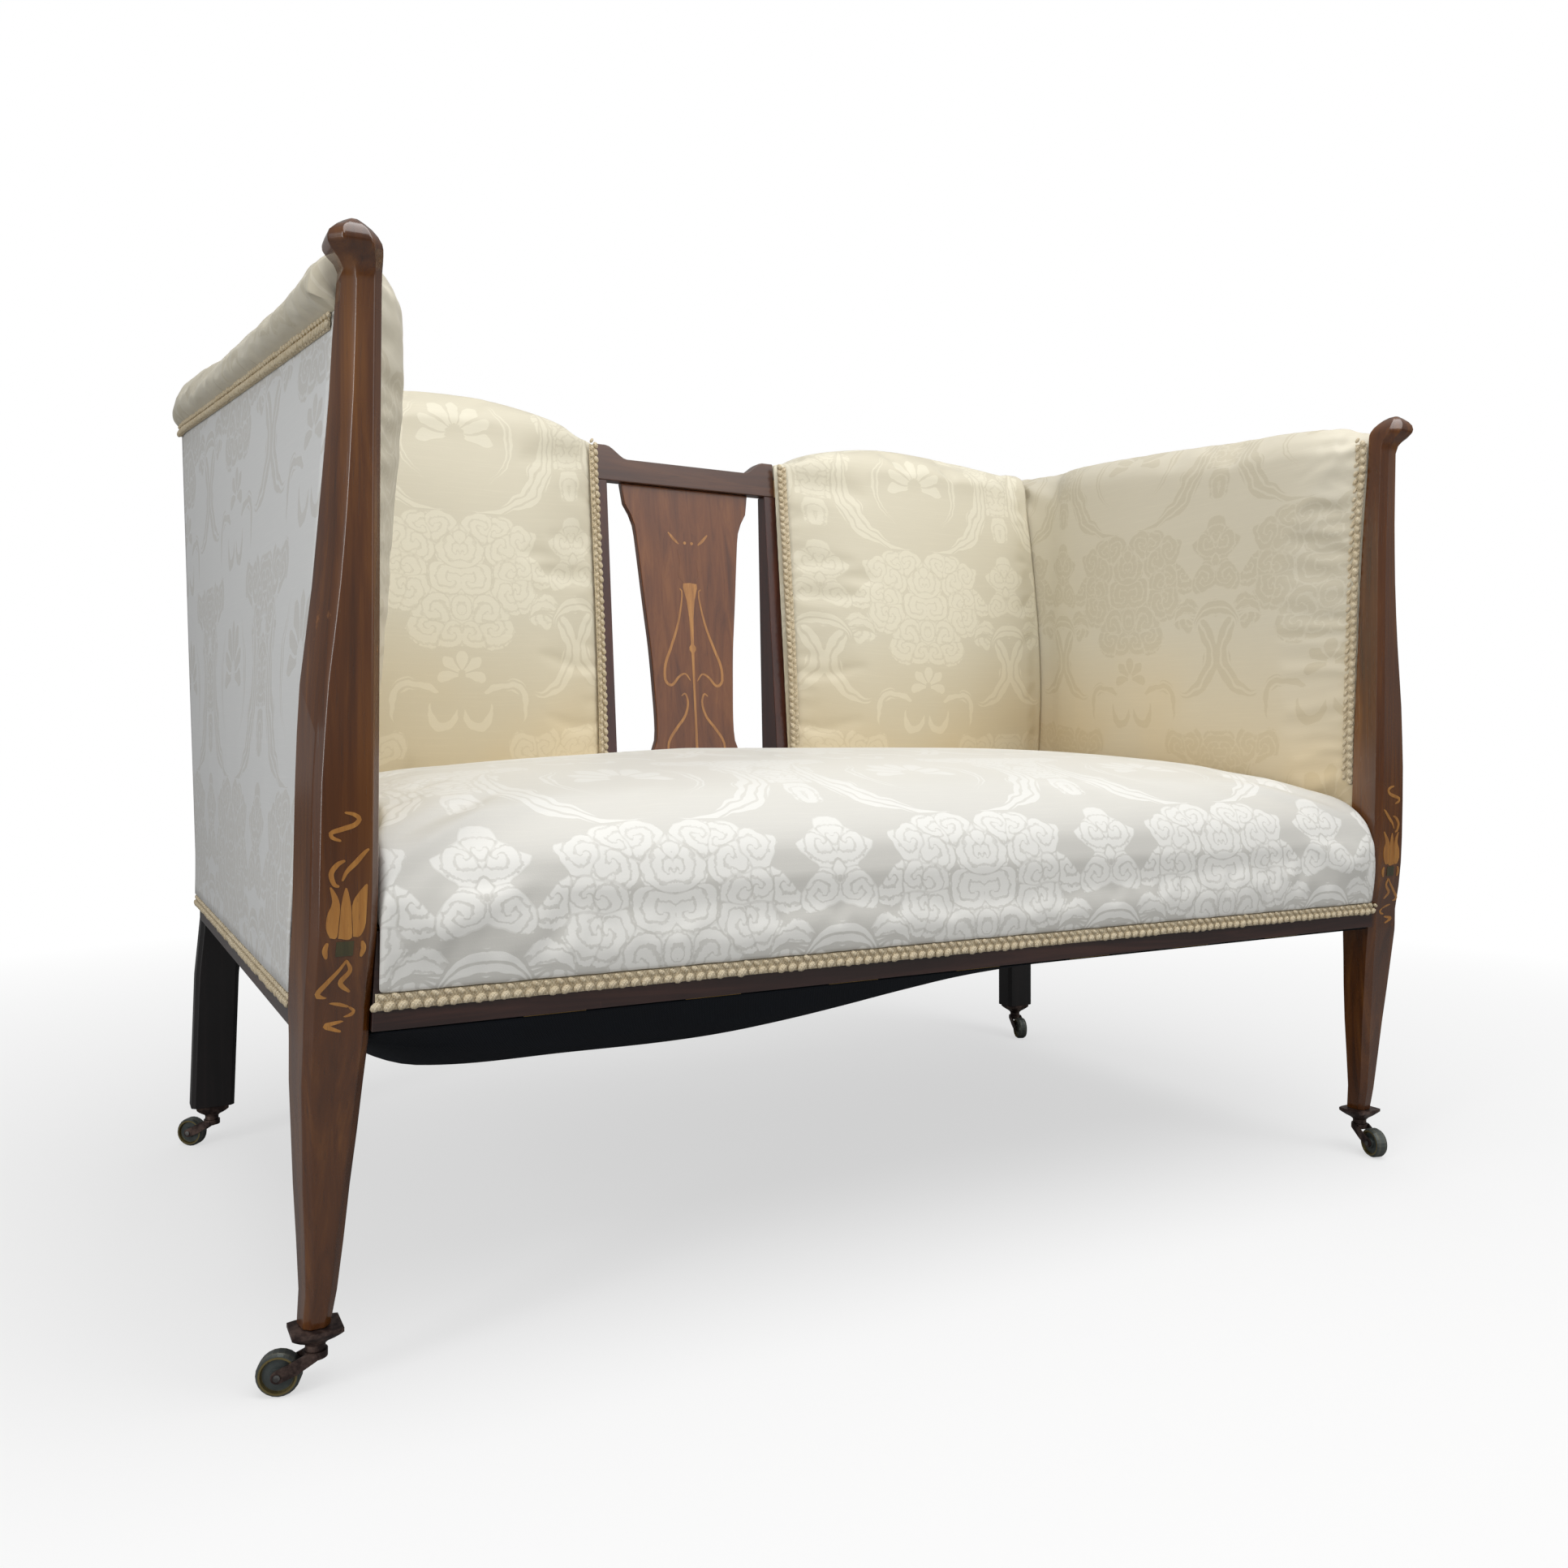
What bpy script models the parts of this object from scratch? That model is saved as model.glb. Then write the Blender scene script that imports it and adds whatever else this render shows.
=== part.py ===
import math

import bmesh
import bpy
from mathutils import Vector

# Driving sizes of the whole settee, in metres
overall_width = 1.272
overall_depth = 0.7485
back_top_z = 0.9
rail_bottom_z = 0.267
rail_height = 0.072
leg_bottom_z = 0.049
gap = 0.0003

# Front posts; an inset is a distance in from the widest place, a drop one down from the top
post_inset = 0.093
post_drop = 0.06
post_width = 0.0465
post_depth = 0.036
post_chamfer = 0.006
post_splay = 0.033
post_sweep = 0.036
post_flare = 0.0096
head_overhang = 0.03
head_spread = 0.015
head_rounding = 0.0175
head_chamfer = 0.009

# Rear legs, which run up inside the corners as back posts
rear_leg_width = 0.046
rear_leg_depth = 0.032
rear_leg_chamfer = 0.004
rear_leg_setback = 0.022
rear_leg_kick = 0.006
rear_leg_flare = 0.004
rear_leg_flare_share = 0.3
rear_leg_inset = 0.0295
rear_leg_drop = 0.068

# Seat rails
rail_thickness = 0.024
rear_rail_thickness = 0.048
side_rail_front_inset = 0.0405
side_rail_back_inset = 0.0285
side_rail_joint = 0.008
corner_block_leg = 0.06
corner_block_height = 0.05

# Back frame: a raked front plane, which leaves the rail's top in front of the rear legs
back_plane_setback = 0.0603
back_rake_share = 0.112
stile_inner_x = 0.118
stile_pad_x = 0.1345
stile_outer_x = 0.15
stile_top_depth = 0.02
stile_foot_depth = 0.052
crest_bottom_drop = 0.081
crest_flat_drop = 0.05
crest_ear_drop = 0.033
crest_ear_run = 0.0306
crest_thickness = 0.021
splat_half_width = 0.095
splat_recess = 0.008
splat_thickness = 0.011
shoe_lift = 0.053
shoe_height = 0.04
shoe_thickness = 0.024
top_rail_thickness = 0.024
top_rail_cover = 0.022

# Upholstery; a lift is a distance up from the seat rails' top
arm_core_front_inset = 0.0865
arm_core_back_inset = 0.0695
arm_crown = 0.042
arm_pad_lift = 0.033
arm_roll_front_drop = 0.062
arm_roll_back_drop = 0.007
arm_roll_height = 0.056
arm_roll_overhang = 0.0195
arm_rail_height = 0.04
panel_thickness = 0.003
panel_top_front_inset = 0.068
panel_top_back_inset = 0.015
back_pad_inset = 0.0735
back_pad_lift = 0.061
back_pad_crown = 0.068
back_cover_thickness = 0.003
seat_crown = 0.1226
seat_side_clearance = 0.0032
seat_pad_setback = 0.0332
seat_front_bulge = 0.009
rail_show = 0.0275

# Gimp braid
gimp_width = 0.012
gimp_thickness = 0.003

# Seat suspension and bottom lining
web_width = 0.05
web_thickness = 0.0014
web_reach_share = 0.75
lace_width = 0.003
spring_radius = 0.038
spring_waist = 0.026
hessian_thickness = 0.0015
lining_thickness = 0.0016
lining_sag = 0.08

# Casters
wheel_radius = 0.016
wheel_width = 0.013
wheel_hub_radius = 0.0055
wheel_hub_width = 0.0134
caster_trail = 0.025
axle_radius = 0.0015
axle_head_radius = 0.0025
axle_head_length = 0.0009
running_clearance = 0.00006
horn_hub_radius = 0.0088
horn_hub_thickness = 0.0052
horn_hub_top_z = 0.0316
horn_arm_thickness = 0.002
horn_arm_gap = 0.0139
horn_eye_radius = 0.0046
swivel_pin_radius = 0.0025
swivel_head_radius = 0.004
swivel_head_thickness = 0.0014
socket_neck_radius = 0.0072
socket_rim_thickness = 0.003
front_socket_width = 0.036
front_socket_depth = 0.031
rear_socket_width = 0.034
rear_socket_depth = 0.026
caster_segments = 24
arm_face_points = 10
strap_count = 7
cross_strap_count = 5

# Heading of each caster's trail, in degrees from +X towards +Y
caster_headings = {
    "front_left": 160.0,
    "front_right": 254.0,
    "rear_left": 142.0,
    "rear_right": 250.0,
}

# Front post, foot to neck: height, inner side, width, front, depth and the flare of its outer
# back corner, as shares of post_top_z, post_splay, post_width, post_sweep, post_depth and post_flare
post_shares = (
    (0.0583, 0.77, 0.42, 0.84, 0.53, 0.23),
    (0.09, 0.66, 0.47, 0.66, 0.6, 0.3),
    (0.135, 0.545, 0.58, 0.53, 0.71, 0.36),
    (0.183, 0.44, 0.7, 0.42, 0.82, 0.38),
    (0.23, 0.32, 0.81, 0.275, 0.92, 0.44),
    (0.274, 0.22, 0.91, 0.153, 0.985, 0.48),
    (0.3107, 0.136, 0.96, 0.025, 1.075, 0.55),
    (0.3393, 0.1, 0.975, 0.0, 1.0, 0.72),
    (0.372, 0.07, 0.98, -0.14, 1.0, 0.8),
    (0.4036, 0.02, 0.99, -0.24, 1.0, 0.8),
    (0.438, 0.0, 1.0, -0.28, 1.0, 0.78),
    (0.485, 0.0, 0.99, -0.31, 0.99, 0.78),
    (0.532, 0.0, 0.975, -0.33, 0.97, 0.8),
    (0.573, 0.0, 0.935, -0.34, 0.95, 0.9),
    (0.614, 0.0, 0.885, -0.35, 0.92, 0.98),
    (0.655, 0.0, 0.8, -0.36, 0.89, 1.0),
    (0.696, 0.0, 0.72, -0.365, 0.85, 1.0),
    (0.737, 0.0, 0.66, -0.37, 0.82, 1.0),
    (0.779, 0.0, 0.613, -0.375, 0.78, 0.94),
    (0.82, 0.0, 0.58, -0.39, 0.74, 0.84),
    (0.857, 0.0, 0.55, -0.41, 0.7, 0.77),
    (0.905, 0.0, 0.53, -0.44, 0.64, 0.7),
    (0.95, 0.0, 0.516, -0.47, 0.583, 0.54),
)

# Scrolled head, neck to top: height, inner side, outer side, front and back, as shares of the
# rise above the neck, head_rounding, head_spread, head_overhang and head_rounding
head_shares = (
    (0.2, 0.0, 0.17, 0.12, 0.0),
    (0.34, 0.0, 0.45, 0.38, 0.0),
    (0.45, 0.02, 0.78, 0.72, 0.0),
    (0.54, 0.05, 0.96, 0.94, 0.0),
    (0.62, 0.1, 1.0, 1.0, 0.05),
    (0.73, 0.26, 0.9, 0.93, 0.15),
    (0.83, 0.48, 0.62, 0.72, 0.3),
    (0.93, 0.75, 0.25, 0.36, 0.5),
    (1.0, 1.0, -0.05, 0.05, 0.75),
)

# Splat half width by height, as shares of the splat's height and of its top half width
splat_shares = (
    (0.0, 0.95),
    (0.03, 0.83),
    (0.06, 0.70),
    (0.1, 0.62),
    (0.17, 0.6),
    (0.3, 0.62),
    (0.43, 0.65),
    (0.52, 0.685),
    (0.62, 0.725),
    (0.69, 0.75),
    (0.77, 0.78),
    (0.84, 0.81),
    (0.88, 0.85),
    (0.915, 0.93),
    (0.94, 0.975),
    (0.97, 0.98),
    (1.0, 1.0),
)

# Arm pad's inner face, bottom to roll: height share, and share of the crown
arm_face_shares = (
    (0.0, 0.35),
    (0.12, 0.5),
    (0.26, 0.66),
    (0.42, 0.8),
    (0.6, 0.92),
    (0.76, 1.0),
    (0.88, 0.98),
)

# Arm pad's crown along the arm, from the post to the back corner
arm_length_shares = (
    (0.0, 0.13),
    (0.02, 0.36),
    (0.05, 0.66),
    (0.1, 0.92),
    (0.17, 1.0),
    (0.35, 1.0),
    (0.55, 0.98),
    (0.7, 0.78),
    (0.78, 0.45),
    (0.83, 0.12),
    (0.86, 0.02),
    (0.9, 0.0),
    (1.0, 0.0),
)

# Rise of the roll along the arm
arm_rise_shares = (
    (0.0, -0.28),
    (0.04, -0.06),
    (0.08, 0.04),
    (0.16, 0.14),
    (0.27, 0.23),
    (0.4, 0.4),
    (0.58, 0.6),
    (0.8, 0.82),
    (1.0, 1.0),
)

# Back pad: crown across its width, from the stile to the arm
pad_across_shares = (
    (0.0, 0.03),
    (0.03, 0.2),
    (0.08, 0.45),
    (0.16, 0.72),
    (0.28, 0.92),
    (0.45, 1.0),
    (0.62, 0.98),
    (0.78, 0.88),
    (0.9, 0.8),
    (1.0, 0.71),
)

# Back pad: crown up its height
pad_up_shares = (
    (0.0, 0.3),
    (0.07, 0.48),
    (0.16, 0.68),
    (0.3, 0.9),
    (0.45, 1.0),
    (0.6, 0.99),
    (0.76, 0.93),
    (0.88, 0.84),
)

# Back pad's top edge across its width, as a drop from back_top_z in crowns
pad_drop_shares = (
    (0.0, 0.5),
    (0.05, 0.38),
    (0.13, 0.19),
    (0.28, 0.05),
    (0.45, 0.0),
    (0.7, 0.06),
    (1.0, 0.12),
)

# Seat crown front to back: distance share of the seat depth, height share of the crown
seat_crown_shares = (
    (0.0, 0.2),
    (0.016, 0.42),
    (0.05, 0.6),
    (0.1, 0.72),
    (0.18, 0.81),
    (0.3, 0.9),
    (0.45, 0.96),
    (0.62, 1.0),
    (0.78, 1.0),
    (0.9, 0.93),
    (1.0, 0.8),
)

# Seat crown across, from the middle to the arm
seat_across_shares = (
    (0.0, 1.0),
    (0.4, 1.0),
    (0.65, 0.985),
    (0.82, 0.94),
    (0.92, 0.87),
    (0.97, 0.81),
    (1.0, 0.74),
)

# Roll of a front edge of the seat: height share of the front, and share of the bulge
seat_front_shares = ((0.3, 0.45), (0.62, 0.85), (0.95, 1.0))

# Shares of the half width, or of the length, where sections lie
seat_station_shares = (0, 0.12, 0.2, 0.27, 0.34, 0.45, 0.58, 0.7, 0.8, 0.88, 0.94, 0.98, 1)
pad_station_shares = (0, 0.03, 0.08, 0.16, 0.28, 0.36, 0.44, 0.52, 0.6, 0.68, 0.76, 0.84, 0.92, 1)
arm_station_shares = (0, 0.02, 0.05, 0.1, 0.17, 0.28, 0.4, 0.52, 0.62, 0.7, 0.77, 0.83, 0.88, 0.93, 1)
lining_station_shares = (0, 0.02, 0.045, 0.07, 0.1, 0.15, 0.2, 0.27, 0.34, 0.42, 0.5, 0.6, 0.72, 0.86, 1)
gimp_start_share = 0.012
gimp_end_share = 0.995

# Rolled edges: shares of the cover's drop behind the back pads and of the arm roll's height
pad_face_share = 1.2
pad_edge_share = 0.9
pad_rear_shares = (0.3, 0.7)
roll_side_share = 0.6
roll_lip_shares = (0.7, 0.12)

# Places of straps and springs along the seat, as shares of the depth to the rear legs
strap_row_shares = (0.2, 0.85)
spring_row_shares = (0.33, 0.7)

# Socket plate, rim to foot: squareness share and height share
socket_shares = ((1.0, 0.0), (0.8, 0.16), (0.5, 0.36), (0.2, 0.52), (0.0, 0.7), (0.0, 1.0))
socket_corner_share = 0.66

# Side view of a horn's arm: x as shares of the hub's radius and of the trail
horn_root_shares = (-0.35, 0.5)
horn_knee_shares = (0.7, 1.9)
horn_throat_shares = (0.45, 0.2)

# Wheel's section: radius share of the wheel, and share of its half width
wheel_shares = ((0.72, 0.62), (0.78, 1.0), (0.9, 1.0), (1.0, 0.6))
wheel_fillet_share = 1.1

# Lining's sag across, left edge to right edge, and front to back
lining_across_shares = (
    (0.0, 0.0),
    (0.045, 0.6),
    (0.09, 0.93),
    (0.2, 1.0),
    (0.32, 1.0),
    (0.42, 0.8),
    (0.5, 0.5),
    (0.62, 0.2),
    (0.8, 0.08),
    (1.0, 0.0),
)
lining_back_shares = (
    (0.0, 0.0),
    (0.08, 0.45),
    (0.2, 0.82),
    (0.36, 1.0),
    (0.6, 0.95),
    (0.8, 0.6),
    (1.0, 0.0),
)

# Everything below follows from the sizes above
face_y = head_overhang - overall_depth / 2
half_width = overall_width / 2
rear_reach = overall_depth - head_overhang
rail_top_z = rail_bottom_z + rail_height
rear_leg_back = rear_reach - rear_leg_setback
rear_leg_front = rear_leg_back - rear_leg_depth
back_plane_start = rear_leg_front - back_plane_setback
seat_back = back_plane_start - seat_pad_setback
post_top_z = back_top_z - post_drop
rear_leg_top_z = back_top_z - rear_leg_drop
crest_bottom_z = back_top_z - crest_bottom_drop
crest_flat_z = back_top_z - crest_flat_drop
crest_ear_z = back_top_z - crest_ear_drop
shoe_bottom_z = rail_top_z + shoe_lift
shoe_top_z = shoe_bottom_z + shoe_height
arm_pad_bottom_z = rail_top_z + arm_pad_lift
arm_roll_front_z = back_top_z - arm_roll_front_drop
arm_roll_back_z = back_top_z - arm_roll_back_drop
back_pad_bottom_z = rail_top_z + back_pad_lift
seat_top_z = rail_top_z + seat_crown
cover_bottom_z = rail_bottom_z + rail_show
post_inner_x = half_width - post_inset
rear_leg_outer_x = half_width - rear_leg_inset
rear_leg_inner_x = rear_leg_outer_x - rear_leg_width
side_rail_front_x = half_width - side_rail_front_inset
side_rail_back_x = half_width - side_rail_back_inset
arm_core_front_x = half_width - arm_core_front_inset
arm_core_back_x = half_width - arm_core_back_inset
panel_top_front_x = half_width - panel_top_front_inset
panel_top_back_x = half_width - panel_top_back_inset
back_pad_outer_x = half_width - back_pad_inset
cushion_bottom_z = rail_top_z + hessian_thickness + 2 * gap
web_top_z = rail_bottom_z - gap
sides = {"left": -1, "right": 1}


def read_shares(table, value):
    """Smooth curve through a table of (position, share) rows."""
    if value <= table[0][0]:
        return table[0][1]
    if value >= table[-1][0]:
        return table[-1][1]
    for i in range(len(table) - 1):
        x0, y0 = table[i][0], table[i][1]
        x1, y1 = table[i + 1][0], table[i + 1][1]
        if value <= x1:
            break
    before = table[max(i - 1, 0)]
    after = table[min(i + 2, len(table) - 1)]
    slope0 = (y1 - before[1]) / (x1 - before[0])
    slope1 = (after[1] - y0) / (after[0] - x0)
    t = (value - x0) / (x1 - x0)
    run = x1 - x0
    rise = (2 * t ** 3 - 3 * t ** 2 + 1) * y0 + (3 * t ** 2 - 2 * t ** 3) * y1
    bend = (t ** 3 - 2 * t ** 2 + t) * slope0 + (t ** 3 - t ** 2) * slope1
    return rise + bend * run


def spread(start, end, count):
    """Evenly spaced values from start to end."""
    return [start + (end - start) * i / (count - 1) for i in range(count)]


def depth_y(distance):
    """Y of a point measured back from the face of the front posts."""
    return face_y + distance


def post_row(z):
    """Inner x, outer x, front and back distance of a front post at one height."""
    share = z / post_top_z
    columns = [read_shares([(row[0], row[k]) for row in post_shares], share) for k in (1, 2, 3, 4)]
    inner = post_inner_x + post_splay * columns[0]
    front = post_sweep * columns[2]
    return inner, inner + post_width * columns[1], front, front + post_depth * columns[3]


def back_plane(z):
    """Distance of the raked back frame's front face behind the post face."""
    return back_plane_start + (z - rail_top_z) * back_rake_share


def stile_back(z):
    """Distance of the stiles' back face, thicker towards the foot."""
    share = (z - rail_top_z) / (crest_bottom_z - rail_top_z)
    return back_plane(z) + stile_foot_depth + (stile_top_depth - stile_foot_depth) * share


def frame_share(distance):
    """Place along the seat frame, from the front posts to the rear legs."""
    start = post_row(rail_bottom_z)[3]
    return (distance - start) / (rear_leg_front - start)


def side_rail_x(distance):
    """Outer face of a side rail at a distance back from the post face."""
    return side_rail_front_x + (side_rail_back_x - side_rail_front_x) * frame_share(distance)


def panel_x(z, distance):
    """Outer face of an outside arm cover at a height and a distance back."""
    lean = max(z - rail_top_z, 0) / (arm_roll_front_z - rail_top_z)
    low = side_rail_x(distance)
    high = panel_top_front_x + (panel_top_back_x - panel_top_front_x) * frame_share(distance)
    return low + gap + panel_thickness + (high - low) * lean


def roll_top(along):
    """Height of the arm roll's top."""
    share = read_shares(arm_rise_shares, along)
    return arm_roll_front_z + (arm_roll_back_z - arm_roll_front_z) * share


def roll_under(along):
    """Height where the roll's cover ends on the outside of the arm."""
    start = arm_roll_front_z - arm_roll_height
    return start + (arm_roll_back_z - arm_roll_front_z) * along


def material(name, colour, roughness, metallic):
    """Principled material of one sub-part."""
    made = bpy.data.materials.new(name)
    made.use_nodes = True
    shader = made.node_tree.nodes["Principled BSDF"]
    shader.inputs["Base Color"].default_value = (*colour, 1)
    shader.inputs["Roughness"].default_value = roughness
    shader.inputs["Metallic"].default_value = metallic
    return made


def add_piece(name, mesh_data, look, smooth=False):
    """Turn a bmesh into a named object with outward faces."""
    bmesh.ops.recalc_face_normals(mesh_data, faces=mesh_data.faces)
    mesh = bpy.data.meshes.new(name)
    mesh_data.to_mesh(mesh)
    mesh_data.free()
    mesh.materials.append(look)
    if smooth:
        mesh.shade_smooth()
        mesh.set_sharp_from_angle(angle=math.radians(40))
    piece = bpy.data.objects.new(name, mesh)
    bpy.context.scene.collection.objects.link(piece)
    return piece


def loft(mesh_data, rings, caps=None):
    """Skin a row of closed rings and cap both ends, with one face or by listed corners."""
    rows = [[mesh_data.verts.new(point) for point in ring] for ring in rings]
    count = len(rings[0])
    for low, high in zip(rows, rows[1:]):
        for i in range(count):
            j = (i + 1) % count
            mesh_data.faces.new((low[i], low[j], high[j], high[i]))
    for row in (rows[0], rows[-1]):
        for corners in caps or [range(count)]:
            mesh_data.faces.new([row[i] for i in corners])


def sheet_loft(mesh_data, rings):
    """Skin thin rings whose far half runs back along the near half, both split along the same diagonal."""
    rows = [[mesh_data.verts.new(point) for point in ring] for ring in rings]
    half = len(rings[0]) // 2
    for low, high in zip(rows, rows[1:]):
        for i in range(half - 1):
            for a, b in ((i, i + 1), (-1 - i, -2 - i)):
                mesh_data.faces.new((low[a], low[b], high[b]))
                mesh_data.faces.new((low[a], high[b], high[a]))
        for a, b in ((half - 1, half), (-1, 0)):
            mesh_data.faces.new((low[a], low[b], high[b], high[a]))
    for row in (rows[0], rows[-1]):
        mesh_data.faces.new(row)
    bmesh.ops.recalc_face_normals(mesh_data, faces=mesh_data.faces)


def block(mesh_data, low, high):
    """Box between two corners, with y measured back from the post face."""
    corners = [(low[0], low[1]), (high[0], low[1]), (high[0], high[1]), (low[0], high[1])]
    loft(mesh_data, [[(x, depth_y(y), z) for x, y in corners] for z in (low[2], high[2])])


def prism(mesh_data, outline, low_z, high_z):
    """Upright prism over an outline of (x, distance back)."""
    loft(mesh_data, [[(x, depth_y(y), z) for x, y in outline] for z in (low_z, high_z)])


def mirrored(rings, side):
    """Rings of the right-hand piece, or their mirror image on the left."""
    return [[(side * x, y, z) for x, y, z in ring] for ring in rings]


def ribbon_rings(points, sideways, outward, width, thickness):
    """Flat strip along points: its width lies along sideways, its thickness along outward."""
    rings = []
    for point, across, out in zip(points, sideways, outward):
        base = Vector(point)
        across = Vector(across).normalized() * width / 2
        out = Vector(out).normalized()
        inner = base + out * gap
        outer = base + out * (gap + thickness)
        rings.append([inner - across, inner + across, outer + across * 0.8, outer - across * 0.8])
    return rings


def turned(mesh_data, profile, segments, centre=(0, 0)):
    """Solid turned about the upright line through centre; profile rows are (radius, z)."""
    rings = []
    for radius, z in profile:
        angles = [2 * math.pi * i / segments for i in range(segments)]
        rings.append([(centre[0] + radius * math.cos(a), centre[1] + radius * math.sin(a), z)
                      for a in angles])
    loft(mesh_data, rings)


def cut(piece, cutter):
    """Subtract a cutter from a piece with a Boolean modifier."""
    cutter.hide_render = True
    cutter.display_type = "WIRE"
    step = piece.modifiers.new(cutter.name, "BOOLEAN")
    step.operation = "DIFFERENCE"
    step.object = cutter
    step.solver = "EXACT"


def join(piece, other):
    """Union of a helper shape with a piece by a Boolean modifier."""
    other.hide_render = True
    other.display_type = "WIRE"
    step = piece.modifiers.new(other.name, "BOOLEAN")
    step.operation = "UNION"
    step.object = other
    step.solver = "EXACT"


def post_levels(low, high):
    """Heights of the post's rings between two heights, both ends included."""
    inner = [row[0] * post_top_z for row in post_shares]
    return [low] + [z for z in inner if low + gap < z < high - gap] + [high]


def post_plan(inner, outer, front, back, outer_back, chamfer, z):
    """Level section with chamfered front corners and an outer back corner of its own."""
    chamfer = min(chamfer, (outer - inner) / 4, (back - front) / 3)
    middle = (inner + outer) / 2
    quarter = (outer - inner) / 4
    plan = [(inner, back), (middle - quarter, back), (middle, back), (middle + quarter, back),
            (outer_back, back), (outer, front + chamfer), (outer - chamfer, front),
            (middle, front), (inner + chamfer, front), (inner, front + chamfer)]
    return [(x, depth_y(y), z) for x, y in plan]


def post_ring(z):
    """Section of a front post at one height; its outer side flares to meet the arm's cover."""
    inner, outer, front, back = post_row(z)
    flare = read_shares([(row[0], row[5]) for row in post_shares], z / post_top_z)
    return post_plan(inner, outer, front, back, outer + post_flare * flare, post_chamfer, z)


def head_ring(row):
    """Level section of the head, which scrolls outwards and forwards from the neck."""
    height, inner_share, outer_share, front_share, back_share = row
    neck_z = post_top_z * post_shares[-1][0]
    inner, neck_outer, front, back = post_row(neck_z)
    outer = neck_outer + head_spread * outer_share
    outer_back = max(outer, neck_outer + post_flare * post_shares[-1][5] * (1 - height))
    front -= (head_overhang + front) * front_share
    chamfer = post_chamfer + (head_chamfer - post_chamfer) * max(outer_share, 0)
    return post_plan(inner + head_rounding * inner_share, outer, front,
                     back - head_rounding * back_share, outer_back, chamfer,
                     neck_z + (post_top_z - neck_z) * height)


def make_front_posts(look):
    """Leg, arm upright and scrolled head in one piece, left and right."""
    neck_z = post_top_z * post_shares[-1][0]
    levels = post_levels(leg_bottom_z, neck_z)
    levels = sorted(set(levels + [rail_bottom_z, rail_top_z]))
    rings = [post_ring(z) for z in levels] + [head_ring(row) for row in head_shares]
    for name, side in sides.items():
        mesh_data = bmesh.new()
        loft(mesh_data, mirrored(rings, side))
        add_piece(f"front_{name}_post", mesh_data, look, smooth=True)


def rear_leg_x(z):
    """Outer face of a rear leg, kicked out a little below the rail."""
    share = max(rail_bottom_z - z, 0) / (rail_bottom_z - leg_bottom_z)
    flare = rear_leg_flare * min(share / rear_leg_flare_share, 1)
    return rear_leg_outer_x + rear_leg_kick * share + flare


def rear_leg_inner(z):
    """Inner face of a rear leg."""
    share = max(rail_bottom_z - z, 0) / (rail_bottom_z - leg_bottom_z)
    if share == 0:
        return rear_leg_inner_x
    return rear_leg_inner_x + rear_leg_kick * share + rear_leg_chamfer


def make_rear_legs(look):
    """Square legs that carry on as back posts inside the corners."""
    knee_z = rail_bottom_z - (rail_bottom_z - leg_bottom_z) * rear_leg_flare_share
    levels = [leg_bottom_z, knee_z, rail_bottom_z, rear_leg_top_z]
    chamfer = rear_leg_chamfer
    rings = []
    for z in levels:
        outer = rear_leg_x(z)
        inner = rear_leg_inner(z)
        shift = rear_leg_kick * max(rail_bottom_z - z, 0) / (rail_bottom_z - leg_bottom_z)
        front = rear_leg_front + shift
        back = rear_leg_back + shift
        plan = [(inner, front + chamfer), (inner + chamfer, front), (outer - chamfer, front),
                (outer, front + chamfer), (outer, back - chamfer), (outer - chamfer, back),
                (inner + chamfer, back), (inner, back - chamfer)]
        rings.append([(x, depth_y(y), z) for x, y in plan])
    for name, side in sides.items():
        mesh_data = bmesh.new()
        loft(mesh_data, mirrored(rings, side))
        add_piece(f"rear_{name}_leg", mesh_data, look)


def make_front_rail(look):
    """Rail between the front posts, its ends cut to the posts' slope."""
    mesh_data = bmesh.new()
    rings = []
    for z in post_levels(rail_bottom_z, rail_top_z):
        inner = post_row(z)[0] - gap
        plan = [(-inner, gap), (inner, gap), (inner, rail_thickness), (-inner, rail_thickness)]
        rings.append([(x, depth_y(y), z) for x, y in plan])
    loft(mesh_data, rings)
    add_piece("front_seat_rail", mesh_data, look)


def make_rear_rail(look):
    """Rail between the rear legs; the stiles stand on it."""
    mesh_data = bmesh.new()
    reach = rear_leg_inner_x - gap
    back = rear_leg_back - rear_leg_chamfer
    block(mesh_data, (-reach, back - rear_rail_thickness, rail_bottom_z), (reach, back, rail_top_z))
    add_piece("rear_seat_rail", mesh_data, look)


def make_side_rails(look):
    """Rails from the front posts to the rear legs, splayed a little."""
    for name, side in sides.items():
        rings = []
        for distance in (post_row(rail_bottom_z)[3] + gap, rear_leg_front - gap):
            outer = side_rail_x(distance)
            inner = outer - rail_thickness
            y = depth_y(distance)
            rings.append([(inner, y, rail_bottom_z), (outer, y, rail_bottom_z),
                          (outer, y, rail_top_z), (inner, y, rail_top_z)])
        mesh_data = bmesh.new()
        loft(mesh_data, mirrored(rings, side))
        add_piece(f"{name}_seat_rail", mesh_data, look)


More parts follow.
